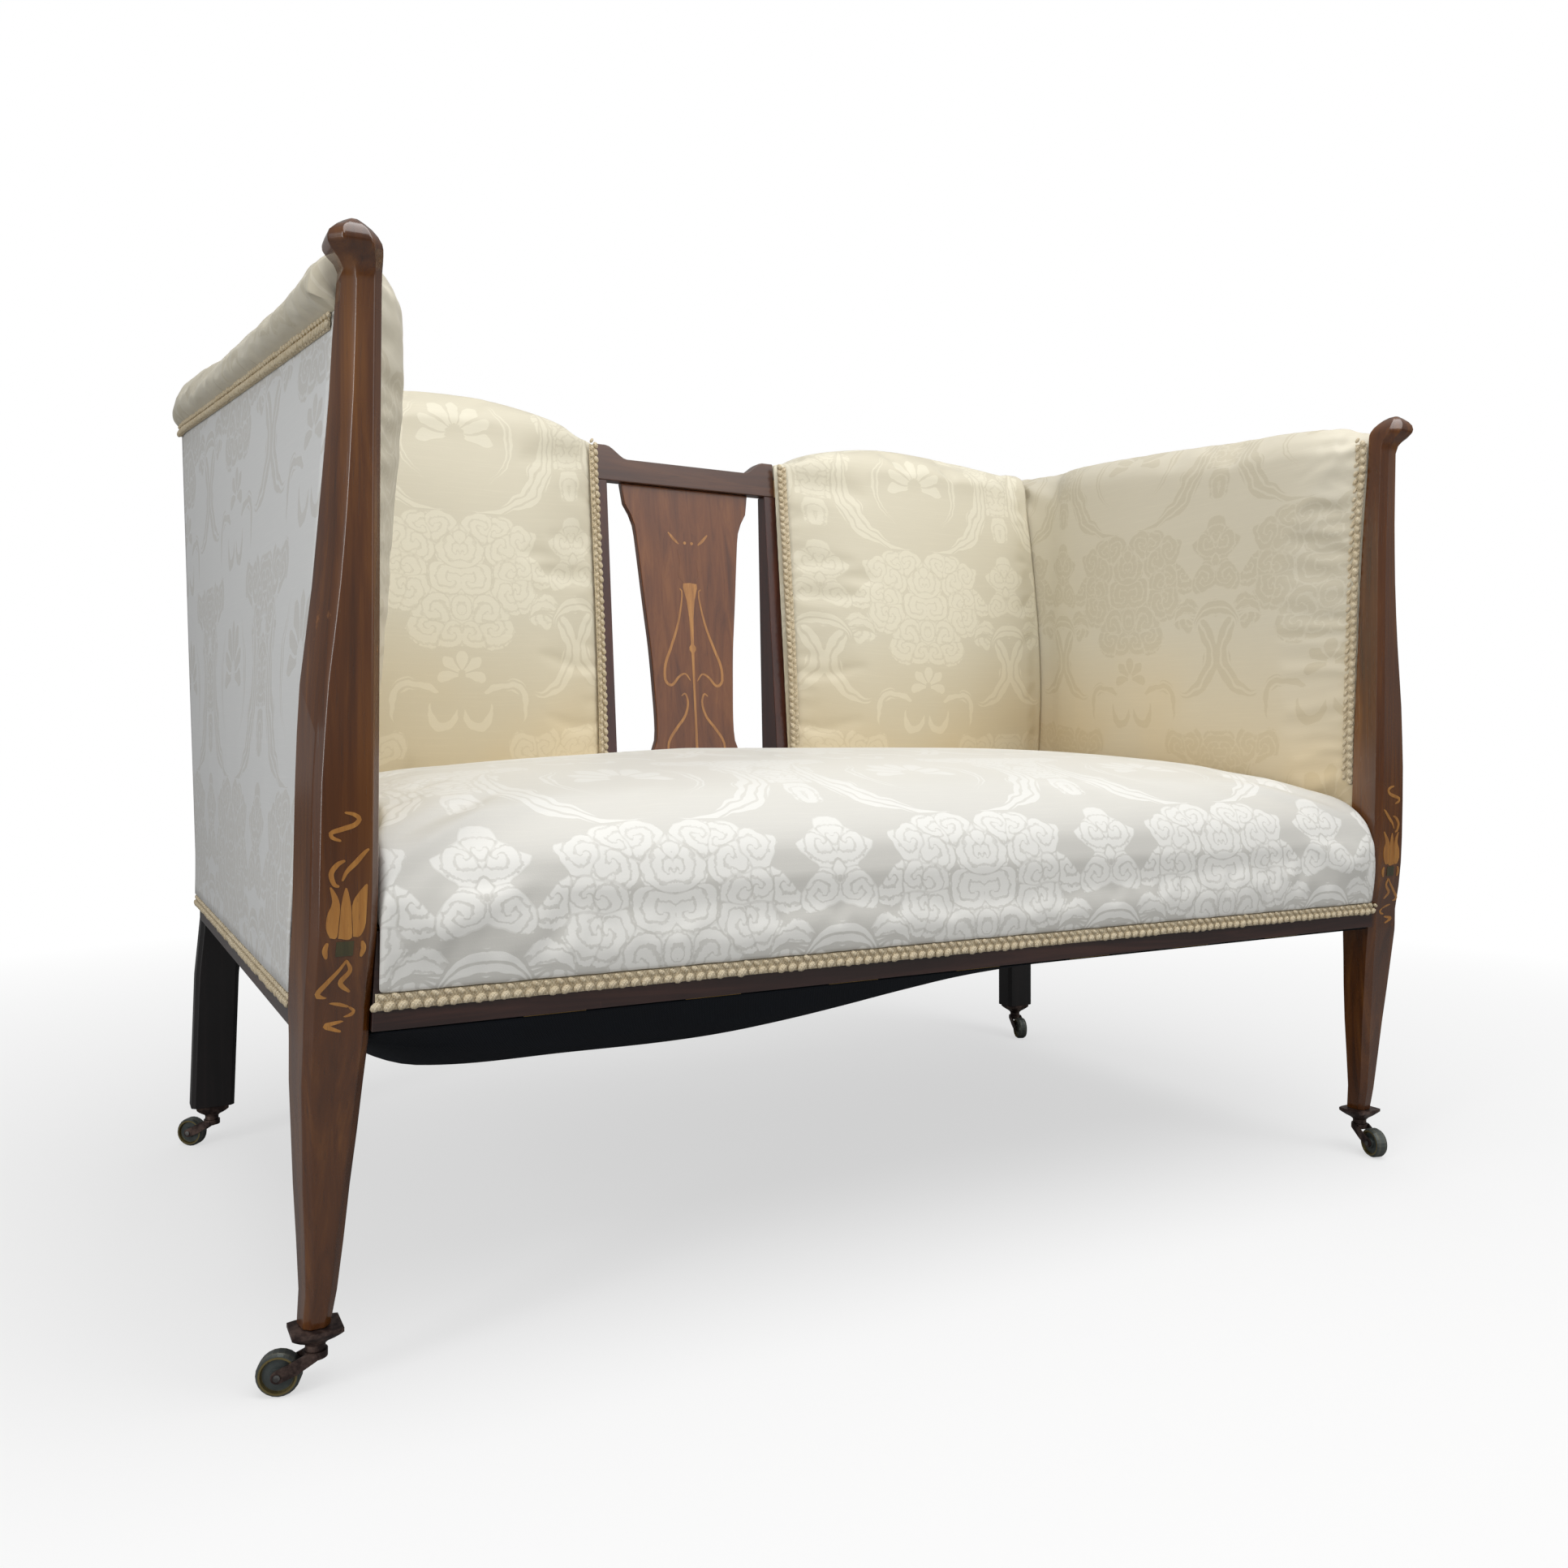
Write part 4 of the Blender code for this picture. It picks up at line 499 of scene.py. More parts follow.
def stuffed(piece, free, cushion):
    # cloth over stuffing: pressed out from within between the tacked points, no further than the cap
    free = skinOnly(free).ravel()
    pucker(piece, free, -cushion["shrink"])
    held = np.where(free < 0.15, 1.0, np.where(free < 0.5, 0.5, 0.0))
    mesh = piece.data
    start = vertexData(mesh, "co")
    tacked = piece.vertex_groups.new(name="tacked")
    for weight in (1.0, 0.5):
        chosen = np.flatnonzero(np.abs(held - weight) < 0.25)
        tacked.add([int(i) for i in chosen], weight, "REPLACE")
    step = piece.modifiers.new("stuffing", "CLOTH")
    cloth = step.settings
    cloth.quality, cloth.mass = stuffing["quality"], stuffing["mass"]
    cloth.tension_stiffness = cloth.compression_stiffness = stuffing["stretch"]
    cloth.shear_stiffness, cloth.bending_stiffness = stuffing["shear"], stuffing["bend"]
    cloth.vertex_group_mass = "tacked"
    cloth.use_pressure = True
    cloth.uniform_pressure_force = cushion["pressure"]
    cloth.shrink_min = cushion["slack"]
    cloth.effector_weights.gravity = 0
    step.point_cache.frame_start, step.point_cache.frame_end = 1, stuffing["frames"]
    for number in range(1, stuffing["frames"] + 1):
        scene.frame_set(number)
    moved = piece.evaluated_get(bpy.context.evaluated_depsgraph_get()).data
    shift = vertexData(moved, "co") - start
    length = np.linalg.norm(shift, axis=1, keepdims=True)
    shift *= np.minimum(1, cushion["cap"] / np.maximum(length, 1e-9)) * (1 - held)[:, None]
    piece.modifiers.remove(step)
    piece.vertex_groups.remove(tacked)
    scene.frame_set(1)
    mesh.vertices.foreach_set("co", (start + shift).ravel())
    mesh.update()
    print("stuffed", piece.name, "moved up to mm",
          round(float(np.linalg.norm(shift, axis=1).max()) * 1000, 1))

# Seat: a sprung cushion, fixed all round, with a rolled front
seat = {
    "halfWidth": 0.5245, "bulge": 0.009, "crown": 0.1226, "foot": 0.3411, "worn": 0.017,
    "columns": 151, "points": 112, "cap": 0.006, "pressure": 3.0, "slack": -0.01, "shrink": 0.003,
    "pull": 0.0007, "clothUp": -0.13, "back": 0.604, "depth": 0.6041, "openHalf": 0.118, "clear": 0.0018,
    "wornFrom": 0.1, "wornOver": 0.3, "wornDepth": 0.45,  # the dip grows leftwards and backwards
    "front": [(0.2945, -0.0033), (0.3078, -0.0059), (0.3221, -0.0081), (0.3365, -0.009)],
    "along": [(0.0, 0.2), (0.016, 0.42), (0.05, 0.6), (0.1, 0.72), (0.18, 0.81), (0.3, 0.9), (0.45, 0.96),
              (0.62, 1.0), (0.78, 1.0), (0.9, 0.93), (1.0, 0.8)],
    "across": [(0.0, 1.0), (0.4, 1.0), (0.65, 0.985), (0.82, 0.94), (0.92, 0.87), (0.97, 0.81), (1.0, 0.74)],
    "sides": [(-0.02, 0.5422), (0.0215, 0.5422), (0.03, 0.5412), (0.041, 0.5372), (0.06, 0.5312),
              (0.092, 0.5262),
              (0.13, 0.5245), (0.7, 0.5245)],
}
backPad = {
    "start": 0.1348, "outer": 0.5625, "low": 0.4, "crown": 0.068, "rear": 0.7125, "under": 0.8373,
    "railDrop": 0.022, "railThick": 0.0243, "columns": 66, "points": 110, "cap": 0.005, "pressure": 3.0,
    "slack": -0.01, "shrink": 0.002, "pull": 0.0006, "clothMiddle": 0.335, "clothUp": 0.09,
    "across": [(0.0, 0.03), (0.03, 0.2), (0.08, 0.45), (0.16, 0.72), (0.28, 0.92), (0.45, 1.0), (0.62, 0.98),
               (0.78, 0.88), (0.9, 0.8), (1.0, 0.71)],
    "up": [(0.0, 0.3), (0.07, 0.48), (0.16, 0.68), (0.3, 0.9), (0.45, 1.0), (0.6, 0.99), (0.76, 0.93),
           (0.88, 0.84)],
    "drop": [(0.0, 0.5), (0.05, 0.38), (0.13, 0.19), (0.28, 0.05), (0.45, 0.0), (0.7, 0.06), (1.0, 0.12)],
}
seatAlong, seatAcross, seatSides = (tableCurve(seat[key]) for key in ("along", "across", "sides"))
padAcross, padUp, padDrop = (tableCurve(backPad[key]) for key in ("across", "up", "drop"))


def padTop(share):
    return body["top"] - backPad["crown"] * padDrop(share)


def padDepth(share, z):
    rise = (z - backPad["low"]) / (padTop(share) - backPad["low"])
    return backPad["crown"] * padAcross(share) * padUp(rise)


def seatEdge(x):
    # the seat runs back to the open middle's rail and to the back pads' faces
    share = np.clip((abs(x) - backPad["start"]) / (backPad["outer"] - backPad["start"]), 0, 1)
    z = body["railTop"] + seat["crown"] * 0.8
    atPad = float(backPlane(z) - padDepth(share, z)) - seat["clear"]
    return min(seat["back"], atPad) if abs(x) > seat["openHalf"] else seat["back"]


def seatHeight(x, distance):
    across = seatAcross(np.abs(x) / seat["halfWidth"])
    along = (distance + seat["bulge"]) / (seat["depth"] + seat["bulge"])
    leftwards = np.clip((-np.asarray(x) - seat["wornFrom"]) / seat["wornOver"], 0, 1)
    worn = leftwards * np.clip(np.asarray(distance) / seat["wornDepth"], 0, 1) ** 2 * seat["worn"]
    rise = across + (1 - across) * (1 - along) * 0.5
    return body["railTop"] + seat["crown"] * seatAlong(along) * rise - worn


def makeSeat():
    count, bulge = seat["points"], seat["bulge"]
    low, foot = body["coverLow"], seat["foot"]
    outer, inner, uv = [], [], []
    for share in np.linspace(-1, 1, seat["columns"]):
        x = share * seat["halfWidth"]
        edge = seatEdge(x)
        corner = (-bulge, float(seatHeight(x, -bulge)))
        front = roundPath([(d, z) for z, d in seat["front"]] + [corner], 24)
        run = -bulge + (edge + bulge) * np.linspace(0, 1, 500)[1:] ** 1.7
        crown = np.stack([run, seatHeight(x, run)], 1)
        skin, lengths = spacedPath(np.concatenate([front, crown]), count)
        under, _ = spacedPath([(0.0, low), (0.0, foot), (edge, foot)], count)
        outer.append([place(share * float(seatSides(d)), d, z) for d, z in skin])
        inner.append([place(share * float(seatSides(d)), d, z) for d, z in under])
        uv.append([(share * float(seatSides(d)), v + seat["clothUp"]) for (d, _), v in zip(skin, lengths)])
    outer = np.array(outer)
    piece = lofted("seatCover", outer, np.array(inner), np.array(uv), "damaskSeat")
    stuffed(piece, np.minimum(ramp(len(outer), 6, 6)[:, None], ramp(count, 8, 5)[None]), seat)
    tuck = np.exp(-np.arange(count) / 7.0)[None] * ramp(len(outer), 3, 3)[:, None]
    across = outer[:, :, 0]
    pulls = np.sin(across * 210 + np.sin(across * 37) * 2) * 0.6 + np.sin(across * 95) * 0.4
    pucker(piece, skinOnly(tuck), seat["pull"], onBoth(pulls))
    refine(piece)
    enter(piece, "cream_damask", "seat_cushion")


def padRing(share, count):
    x = backPad["start"] + (backPad["outer"] - backPad["start"]) * share
    top = float(padTop(share))
    drop, rear, gap = backPad["railDrop"], backPad["rear"], body["gap"]
    low, under = backPad["low"], backPad["under"]
    levels = np.linspace(low, top - drop * 1.25, 70)
    face = np.stack([backPlane(levels) - gap - padDepth(share, levels), levels], 1)
    edge = float(padDepth(share, top - drop))
    plane = float(backPlane(top))
    over = [(plane - edge * math.cos(t), top - drop * (1 - math.sin(t)) * 0.9)
            for t in np.linspace(0.3, math.pi / 2, 9)]
    over += [((plane + rear) / 2, top - 0.0006), (rear - 0.007, top - 0.004), (rear - 0.0012, top - 0.0115),
             (rear, top - 0.02)]
    rolled = roundPath([tuple(face[-4]), tuple(face[-1])] + over, 60)
    foot = float(backPlane(low))
    skin, lengths = spacedPath(np.concatenate([[(foot - 2 * gap, low)], face[:-4], rolled, [(rear, under)]]),
                               count)
    rail = top - drop
    railFace = float(backPlane(rail))
    railBack = railFace + backPad["railThick"]
    lining, _ = spacedPath([(foot - gap, low + gap), (railFace - gap, rail + gap), (railBack, rail + gap),
                            (railBack, under), (rear - gap, under)], count)
    return x, skin, lengths, lining


def makeBackPads():
    count = backPad["points"]
    shares = np.concatenate([np.linspace(0, 0.12, 14)[:-1], np.linspace(0.12, 1, backPad["columns"] - 13)])
    for name, side in sides.items():
        outer, inner, uv = [], [], []
        for share in shares:
            x, skin, lengths, lining = padRing(share, count)
            outer.append([place(side * x, d, z) for d, z in skin])
            inner.append([place(side * x, d, z) for d, z in lining])
            uv.append([(side * (x - backPad["clothMiddle"]), v + backPad["clothUp"]) for v in lengths])
        outer = np.array(outer)
        piece = lofted(f"{name}BackPadCover", outer, np.array(inner), np.array(uv), "damask")
        stuffed(piece, ramp(len(outer), 6, 6)[:, None] * ramp(count, 7, 7)[None], backPad)
        z = outer[:, :, 2]
        atStile = np.exp(-shares * (backPad["outer"] - backPad["start"]) / 0.012)[:, None] * np.ones(count)
        pucker(piece, skinOnly(atStile), backPad["pull"], onBoth(np.sin(z * 330 + np.sin(z * 61) * 2)))
        refine(piece)
        enter(piece, "cream_damask", f"{name}_back_pad")

# Arms: padded inner faces and rolled tops, held between post and back
arm = {
    "core": (0.5495, 0.5665), "crown": 0.042, "low": 0.372, "front": 0.838, "back": 0.893, "roll": 0.056,
    "overhang": 0.0195, "end": 0.6642, "columns": 84, "points": 126, "cap": 0.004, "pressure": 2.5,
    "slack": -0.012,
    "shrink": 0.0015, "pull": 0.0011, "crease": 0.0012, "widest": 0.636,
    "clothRun": (0.335, 0.64), "clothUp": 0.06,  # the cloth along the arm and up its face
    "tail": (0.6644, 0.682, 0.7, 0.714, 0.7185),  # distances of the roll's last rings, over the leg
    "face": [(0.0, 0.35), (0.12, 0.5), (0.26, 0.66), (0.42, 0.8), (0.6, 0.92), (0.76, 1.0), (0.88, 0.98)],
    "length": [(0.0, 0.13), (0.02, 0.36), (0.05, 0.66), (0.1, 0.92), (0.17, 1.0), (0.35, 1.0), (0.55, 0.98),
               (0.7, 0.78), (0.78, 0.45), (0.83, 0.12), (0.86, 0.02), (0.9, 0.0), (1.0, 0.0)],
    "rise": [(0.0, -0.28), (0.04, -0.06), (0.08, 0.04), (0.16, 0.14), (0.27, 0.23), (0.4, 0.4), (0.58, 0.6),
             (0.8, 0.82), (1.0, 1.0)],
    "postBack": [(0.261, 0.0396), (0.285, 0.036), (0.3125, 0.031), (0.339, 0.0274), (0.368, 0.0259),
                 (0.4074, 0.0245),
                 (0.4469, 0.023), (0.4813, 0.022), (0.5158, 0.0205), (0.5502, 0.0191), (0.5846, 0.0175),
                 (0.6191, 0.0162), (0.6544, 0.0146), (0.6888, 0.0126), (0.7199, 0.0104), (0.7602, 0.0072),
                 (0.798, 0.0041), (0.95, 0.0041)],
}
armFace, armLength = tableCurve(arm["face"]), tableCurve(arm["length"])
armRise, postBack = tableCurve(arm["rise"]), tableCurve(arm["postBack"])


def frameShare(distance):
    return (distance - body["frameStart"]) / (body["legFront"] - body["frameStart"])


def sideRailX(distance):
    low, high = body["sideRail"]
    return low + (high - low) * frameShare(distance)


def panelX(z, distance):
    # outer face of the outside arm cover
    lean = np.maximum(z - body["railTop"], 0) / (arm["front"] - body["railTop"])
    low, high = body["panelTop"]
    base = sideRailX(distance)
    return base + 0.0033 + (low + (high - low) * frameShare(distance) - base) * lean


def armStart(z):
    return postBack(z) + 4 * body["gap"]


def rollUnder(along):
    return arm["front"] - arm["roll"] + (arm["back"] - arm["front"]) * along


def armRing(along, count):
    top = arm["front"] + (arm["back"] - arm["front"]) * float(armRise(along))
    under = rollUnder(along)
    face = arm["core"][0] + (arm["core"][1] - arm["core"][0]) * along
    crown = arm["crown"] * float(armLength(along))
    start = float(armStart(under))
    panel = float(panelX(under, start + (body["legFront"] - start) * along))
    rearOverhang = arm["widest"] - float(panelX(rollUnder(1), body["legFront"]))
    overhang = arm["overhang"] + (rearOverhang - arm["overhang"]) * along
    levels = np.linspace(arm["low"], under, 60)
    depth = crown * armFace((levels - arm["low"]) / (top - arm["low"]))
    inside = np.stack([face - 0.0006 - depth, levels], 1)
    edge, shoulder = inside[-1]
    middle, reach = (edge + panel + overhang) / 2, (panel + overhang - edge) / 2
    over = [(middle + reach * math.cos(math.radians(a)),
             shoulder + (top - shoulder) * math.sin(math.radians(a)) ** 0.8)
            for a in range(165, 15, -15)]
    over += [(panel + overhang, top - arm["roll"] * 0.6),
             (panel + overhang * 0.82, under + arm["roll"] * 0.17),
             (panel + 0.0012, under + 0.0012)]
    rolled = roundPath([tuple(inside[-6]), tuple(inside[-2])] + over, 80)
    gap = body["gap"]
    skin = np.concatenate([[(face - gap, arm["low"])], inside[:-6], rolled, [(panel - gap, under)]])
    skin, lengths = spacedPath(skin, count)
    lining, _ = spacedPath([(face, arm["low"] + gap), (face, under - gap), (panel - 2 * gap, under - 0.0001)],
                           count)
    return skin, lengths, lining, under, face, panel


def makeArmPads():
    count, end, lift = arm["points"], arm["end"], arm["clothUp"]
    clothStart, clothRun = arm["clothRun"]
    shares = np.concatenate([np.linspace(0, 0.1, 17)[:-1], np.linspace(0.1, 1, arm["columns"] - 16)])
    for name, side in sides.items():
        outer, inner, uv = [], [], []
        for along in shares:
            skin, lengths, lining, under, face, panel = armRing(along, count)
            for rows, path in ((outer, skin), (inner, lining)):
                starts = [float(armStart(z)) for _, z in path]
                rows.append([place(side * x, s + (end - s) * along, z) for (x, z), s in zip(path, starts)])
            uv.append([(clothStart - along * clothRun, v + lift) for v in lengths])
        turned = int(np.argmax(skin[:, 1] > under))  # past this point the roll begins
        for distance in arm["tail"]:
            ease = max(distance - 0.7, 0) / 0.0185
            lifted = skin.copy()
            back = face - 0.0006
            lifted[:turned, 0] = back + (skin[turned, 0] - back) * np.arange(turned) / turned
            lifted[:turned, 1] = under - 0.0002
            lifted[:, 1] = under + (lifted[:, 1] - under) * (1 - 0.1 * ease ** 2)
            flat = np.stack([np.linspace(face, panel - 0.0009, count), np.full(count, under + 0.0003)], 1)
            outer.append([place(side * x, distance, z) for x, z in lifted])
            inner.append([place(side * x, distance, z) for x, z in flat])
            uv.append([(clothStart - clothRun - (distance - end), v + lift) for v in lengths])
        outer = np.array(outer)
        piece = lofted(f"{name}ArmPadCover", outer, np.array(inner), np.array(uv), "damaskArm")
        lead = ramp(len(outer), 5, 12)[:, None]
        stuffed(piece, lead * ramp(count, 6, 6)[None], arm)
        y, z = outer[:, :, 1] - faceY, outer[:, :, 2]
        front = np.exp(-np.maximum(y - 0.03, 0) / 0.03) * (y > 0.012)
        pucker(piece, skinOnly(front), arm["pull"], onBoth(np.sin(z * 300 + np.sin(z * 53) * 2.2)))
        outside = np.clip((np.arange(count)[None] - count * 0.78) / (count * 0.12), 0, 1) * lead
        slant = y * 120 + z * 60
        creases = np.sin(slant + np.sin(y * 31) * 3) * 0.6 + np.sin(slant * 2.3) * 0.4
        pucker(piece, skinOnly(outside), arm["crease"], onBoth(creases))
        refine(piece)
        enter(piece, "cream_damask", f"{name}_arm_pad")


# Outside covers: one layer of cloth, nailed over the frame
cover = {
    "thickness": 0.0016, "stand": 0.0033, "belly": 0.0016, "ripple": 0.0003, "backBelly": 0.0012,
    "backInner": 0.1345, "backOuter": 0.5605, "cloth": 0.02, "clothMiddle": 0.335, "clothFront": 0.36,
    "stile": (0.052, 0.032, 0.48, 0.024),  # depth low down, thinning over which height, least
    "lower": [(0.6955, 0.2945), (0.6957, 0.31), (0.6953, 0.3385), (0.6695, 0.375), (0.6376, 0.405),
              (0.6393, 0.4315)],
}


def clothSheet(name, grid, uv, inwards, finish, thickness=cover["thickness"]):
    # thin closed sheet from a grid of points, with its back face set along a direction
    grid = np.array(grid)
    return lofted(name, grid, grid + np.array(inwards) * thickness, np.array(uv), finish)


def makeArmPanel(name, side):
    grid, uv = [], []
    for along in np.linspace(0, 1, 70):
        under = rollUnder(min(along * body["legBack"] / body["legFront"], 1)) - body["gap"]
        row, spots = [], []
        for level in np.linspace(0, 1, 60):
            z = body["coverLow"] + (under - body["coverLow"]) * level
            start = float(armStart(z))
            distance = start + (body["legBack"] - start) * along
            belly = math.sin(math.pi * level) * math.sin(math.pi * along)
            ripple = math.sin(along * 60 + math.sin(level * 9)) * (1 - level) * (level > 0.02)
            x = float(panelX(z, distance)) + cover["belly"] * belly ** 0.7 + cover["ripple"] * ripple
            row.append(place(side * x, distance, z))
            spots.append((distance - cover["clothFront"], z + cover["cloth"]))
        grid.append(row)
        uv.append(spots)
    piece = clothSheet(f"{name}OutsideArmPanel", grid, uv, (-side, 0, 0), "damaskOutside")
    enter(piece, "cream_damask", f"{name}_outside_arm_cover")


def makeBackPanel(name, side):
    inner, outer = cover["backInner"], cover["backOuter"]
    deep, thins, tall, least = cover["stile"]
    grid, uv = [], []
    for z in np.linspace(body["coverLow"], rollUnder(1) - 2 * body["gap"], 56):
        row, spots = [], []
        edge = float(panelX(z, body["legBack"])) - cover["stand"]
        start = body["legBack"] - 0.004 + body["gap"]
        if z > body["railTop"] + 0.0006:
            plane = float(backPlane(z))
            start = max(plane + deep - thins * (z - body["railTop"]) / tall, plane + least) + 0.0006
        for share in np.linspace(0, 1, 44):
            x = inner + (edge - inner) * share
            flatten = min((x - inner) / (outer - inner), 1)
            distance = start + (body["legBack"] + body["gap"] - start) * flatten
            row.append(place(side * x, distance + 0.003 + cover["backBelly"] * math.sin(math.pi * share), z))
            spots.append((side * (x - cover["clothMiddle"]), z + cover["cloth"]))
        grid.append(row)
        uv.append(spots)
    piece = clothSheet(f"{name}OutsideBackPanel", grid, uv, (0, -1, 0), "damaskOutside")
    enter(piece, "cream_damask", f"{name}_outside_back_cover")


def makeOutsideCovers():
    for name, side in sides.items():
        makeArmPanel(name, side)
        makeBackPanel(name, side)
    low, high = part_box("lower_back_cover")
    xs = np.linspace(low.x, high.x, 24)
    profile = roundPath(cover["lower"], 40)
    piece = clothSheet("lowerBackPanel", [[place(x, d, z) for x in xs] for d, z in profile],
                       [[(x, z) for x in xs] for _, z in profile], (0, -0.7, -0.7), "damaskOutside")
    enter(piece, "cream_damask", "lower_back_cover")


class Growth(Tree):
    # a geometry nodes tree: a source mesh, numbers and vectors and a material in, geometry out
    def __init__(self, name, source, values, material, result):
        super().__init__(bpy.data.node_groups.new(name, "GeometryNodeTree"))
        kinds = {source: "Geometry", **{label: "Vector" if isinstance(value, tuple) else "Float"
                                        for label, value in values.items()}, material: "Material"}
        for label, kind in kinds.items():
            socket = self.tree.interface.new_socket(label, in_out="INPUT", socket_type=f"NodeSocket{kind}")
            if label in values:
                socket.default_value = values[label]
        self.tree.interface.new_socket(result, in_out="OUTPUT", socket_type="NodeSocketGeometry")
        entry = self.tree.nodes.new("NodeGroupInput")
        self.material = material
        self.given = {socket.name: Wire(self, socket) for socket in entry.outputs}

    def together(self, *parts):
        made = self.tree.nodes.new("GeometryNodeJoinGeometry")
        for part in parts:
            self.tree.links.new(part.socket, made.inputs[0])
        return Wire(self, made.outputs[0])

    def planted(self, inputs):
        # copies at the points, made real, smooth and of the given material
        copies = self.node("GeometryNodeInstanceOnPoints", None, inputs)
        solid = self.node("GeometryNodeRealizeInstances", inputs=[copies])
        smooth = self.node("GeometryNodeSetShadeSmooth", inputs=[solid])
        dyed = self.node("GeometryNodeSetMaterial", None,
                         {"Geometry": smooth, "Material": self.given[self.material]})
        leave = self.tree.nodes.new("NodeGroupOutput")
        self.tree.links.new(dyed.socket, leave.inputs[0])
        return self


def grown(name, mesh, growth, finish):
    # what the tree makes of the mesh, as a plain mesh piece
    guide = newObject(mesh.name, mesh)
    step = guide.modifiers.new("growth", "NODES")
    step.node_group = growth.tree
    for item in growth.tree.interface.items_tree:
        if item.item_type == "SOCKET" and item.in_out == "INPUT" and item.name == growth.material:
            step[item.identifier] = finishes[finish]
    made = bpy.data.meshes.new_from_object(guide.evaluated_get(bpy.context.evaluated_depsgraph_get()))
    bpy.data.objects.remove(guide)
    made.name = name
    made.materials.clear()
    made.materials.append(finishes[finish])
    return newObject(name, made)
def joined(name, pieces):
    # several pieces of one finish as one object
    work = bmesh.new()
    for piece in pieces:
        work.from_mesh(piece.data)
    mesh = pieces[0].data
    work.to_mesh(mesh)
    work.free()
    for piece in pieces[1:]:
        bpy.data.objects.remove(piece)
    pieces[0].name = name
    mesh.update()
    return pieces[0]
def unit(vectors):
    return vectors / np.linalg.norm(vectors, axis=1, keepdims=True)


def tubePiece(name, rings, finish):
    # closed form from rings of four points
    count = len(rings)
    faces = [(k * 4 + j, k * 4 + (j + 1) % 4, k * 4 + 4 + (j + 1) % 4, k * 4 + 4 + j)
             for k in range(count - 1) for j in range(4)]
    faces += [(0, 1, 2, 3), tuple((count - 1) * 4 + j for j in range(4))]
    piece = meshPiece(name, np.array(rings).reshape(-1, 3), faces, finish, smooth=False)
    outward(piece)
    return piece


def strap(name, points, outs, width, thickness, finish, flip=1, taper=1.0):
    # flat band along points; outs point away from what it lies on
    across = unit(np.cross(outs, unit(np.gradient(points, axis=0))) * flip) * (width / 2)
    lift = outs * thickness
    rings = np.stack([points - across, points - across * taper + lift, points + across * taper + lift,
                      points + across], 1)
    return tubePiece(name, rings, finish)


# Gimp: a beaded braid, a band with a row of large knots and a row of small ones
gimp = {"width": 0.0125, "band": 0.0012, "taper": 0.92, "pitch": 0.0094, "knot": (0.0044, 0.0033, 0.0026),
        "knotRow": -0.0029, "loop": (0.0036, 0.0021, 0.002), "loopRow": 0.0036, "tilt": 0.55, "seed": 5,
        "below": 0.0065, "rollSpan": (0.012, 0.995), "sillSpan": (0.0415, 0.69), "stileSpan": (0.447, 0.861),
        "stileAcross": (0.1411, 0.0122), "frontSpan": (0.43, 0.812),
        "tucked": {"left": 0.3, "right": 0.8}}  # the left arm pad covers its braid


def gimpTree():
    tree = Growth("gimpBraid", "Path", {
        "Pitch": gimp["pitch"], "Tilt": gimp["tilt"], "Knot Size": gimp["knot"], "Loop Size": gimp["loop"],
        "Knot Offset": (0, gimp["knotRow"], 0.0011),
        "Loop Offset": (gimp["pitch"] / 2, gimp["loopRow"], 0.0009),
    }, "Thread", "Braid")
    given = tree.given
    curve = tree.node("GeometryNodeMeshToCurve", inputs=[given["Path"]])
    even = tree.node("GeometryNodeResampleCurve", {"mode": "LENGTH"},
                     {"Curve": curve, "Length": given["Pitch"]})
    normal = tree.node("GeometryNodeInputNamedAttribute", {"data_type": "FLOAT_VECTOR"}, {"Name": "outward"})
    lean = tree.node("FunctionNodeAlignRotationToVector", {"axis": "Z"}, {"Vector": normal})
    turned = tree.node("FunctionNodeAlignRotationToVector", {"axis": "X", "pivot_axis": "Z"},
                       {"Rotation": lean, "Vector": tree.node("GeometryNodeInputTangent")})
    ball = tree.node("GeometryNodeMeshUVSphere", inputs={"Segments": 9, "Rings": 6, "Radius": 1.0})
    tilt = tree.node("ShaderNodeCombineXYZ", None, [0.0, 0.0, given["Tilt"]])
    back = tree.node("ShaderNodeVectorMath", {"operation": "SCALE"}, {0: tilt, "Scale": -1.0})
    knot, loop = (tree.node("GeometryNodeTransform", None, {
        "Geometry": ball, "Translation": given[f"{kind} Offset"], "Rotation": turn,
        "Scale": given[f"{kind} Size"]})
        for kind, turn in (("Knot", tilt), ("Loop", back)))
    swell = tree.node("FunctionNodeRandomValue", {"data_type": "FLOAT"},
                      {2: 0.88, 3: 1.1, "Seed": gimp["seed"]}, 1)
    return tree.planted({"Points": even, "Instance": tree.together(knot, loop), "Rotation": turned,
                         "Scale": swell})


def gimpRun(name, points, outs, tree, flip, *replaced):
    # braid along points; outs point away from the wood, and the knots lie on the flip side
    points, outs = np.array(points, float), unit(np.array(outs, float))
    band = strap(f"{name}Band", points, outs, gimp["width"], gimp["band"], "gimp", flip, gimp["taper"])
    path = bpy.data.meshes.new(f"{name}Path")
    path.from_pydata([tuple(p) for p in (points + outs * gimp["band"])[::flip]],
                     [(i, i + 1) for i in range(len(points) - 1)], [])
    ways = path.attributes.new("outward", "FLOAT_VECTOR", "POINT")
    ways.data.foreach_set("vector", outs[::flip].astype(np.float32).ravel())
    piece = joined(name, [band, grown(f"{name}Beads", path, tree, "gimp")])
    enter(piece, "cream_gimp", *replaced)


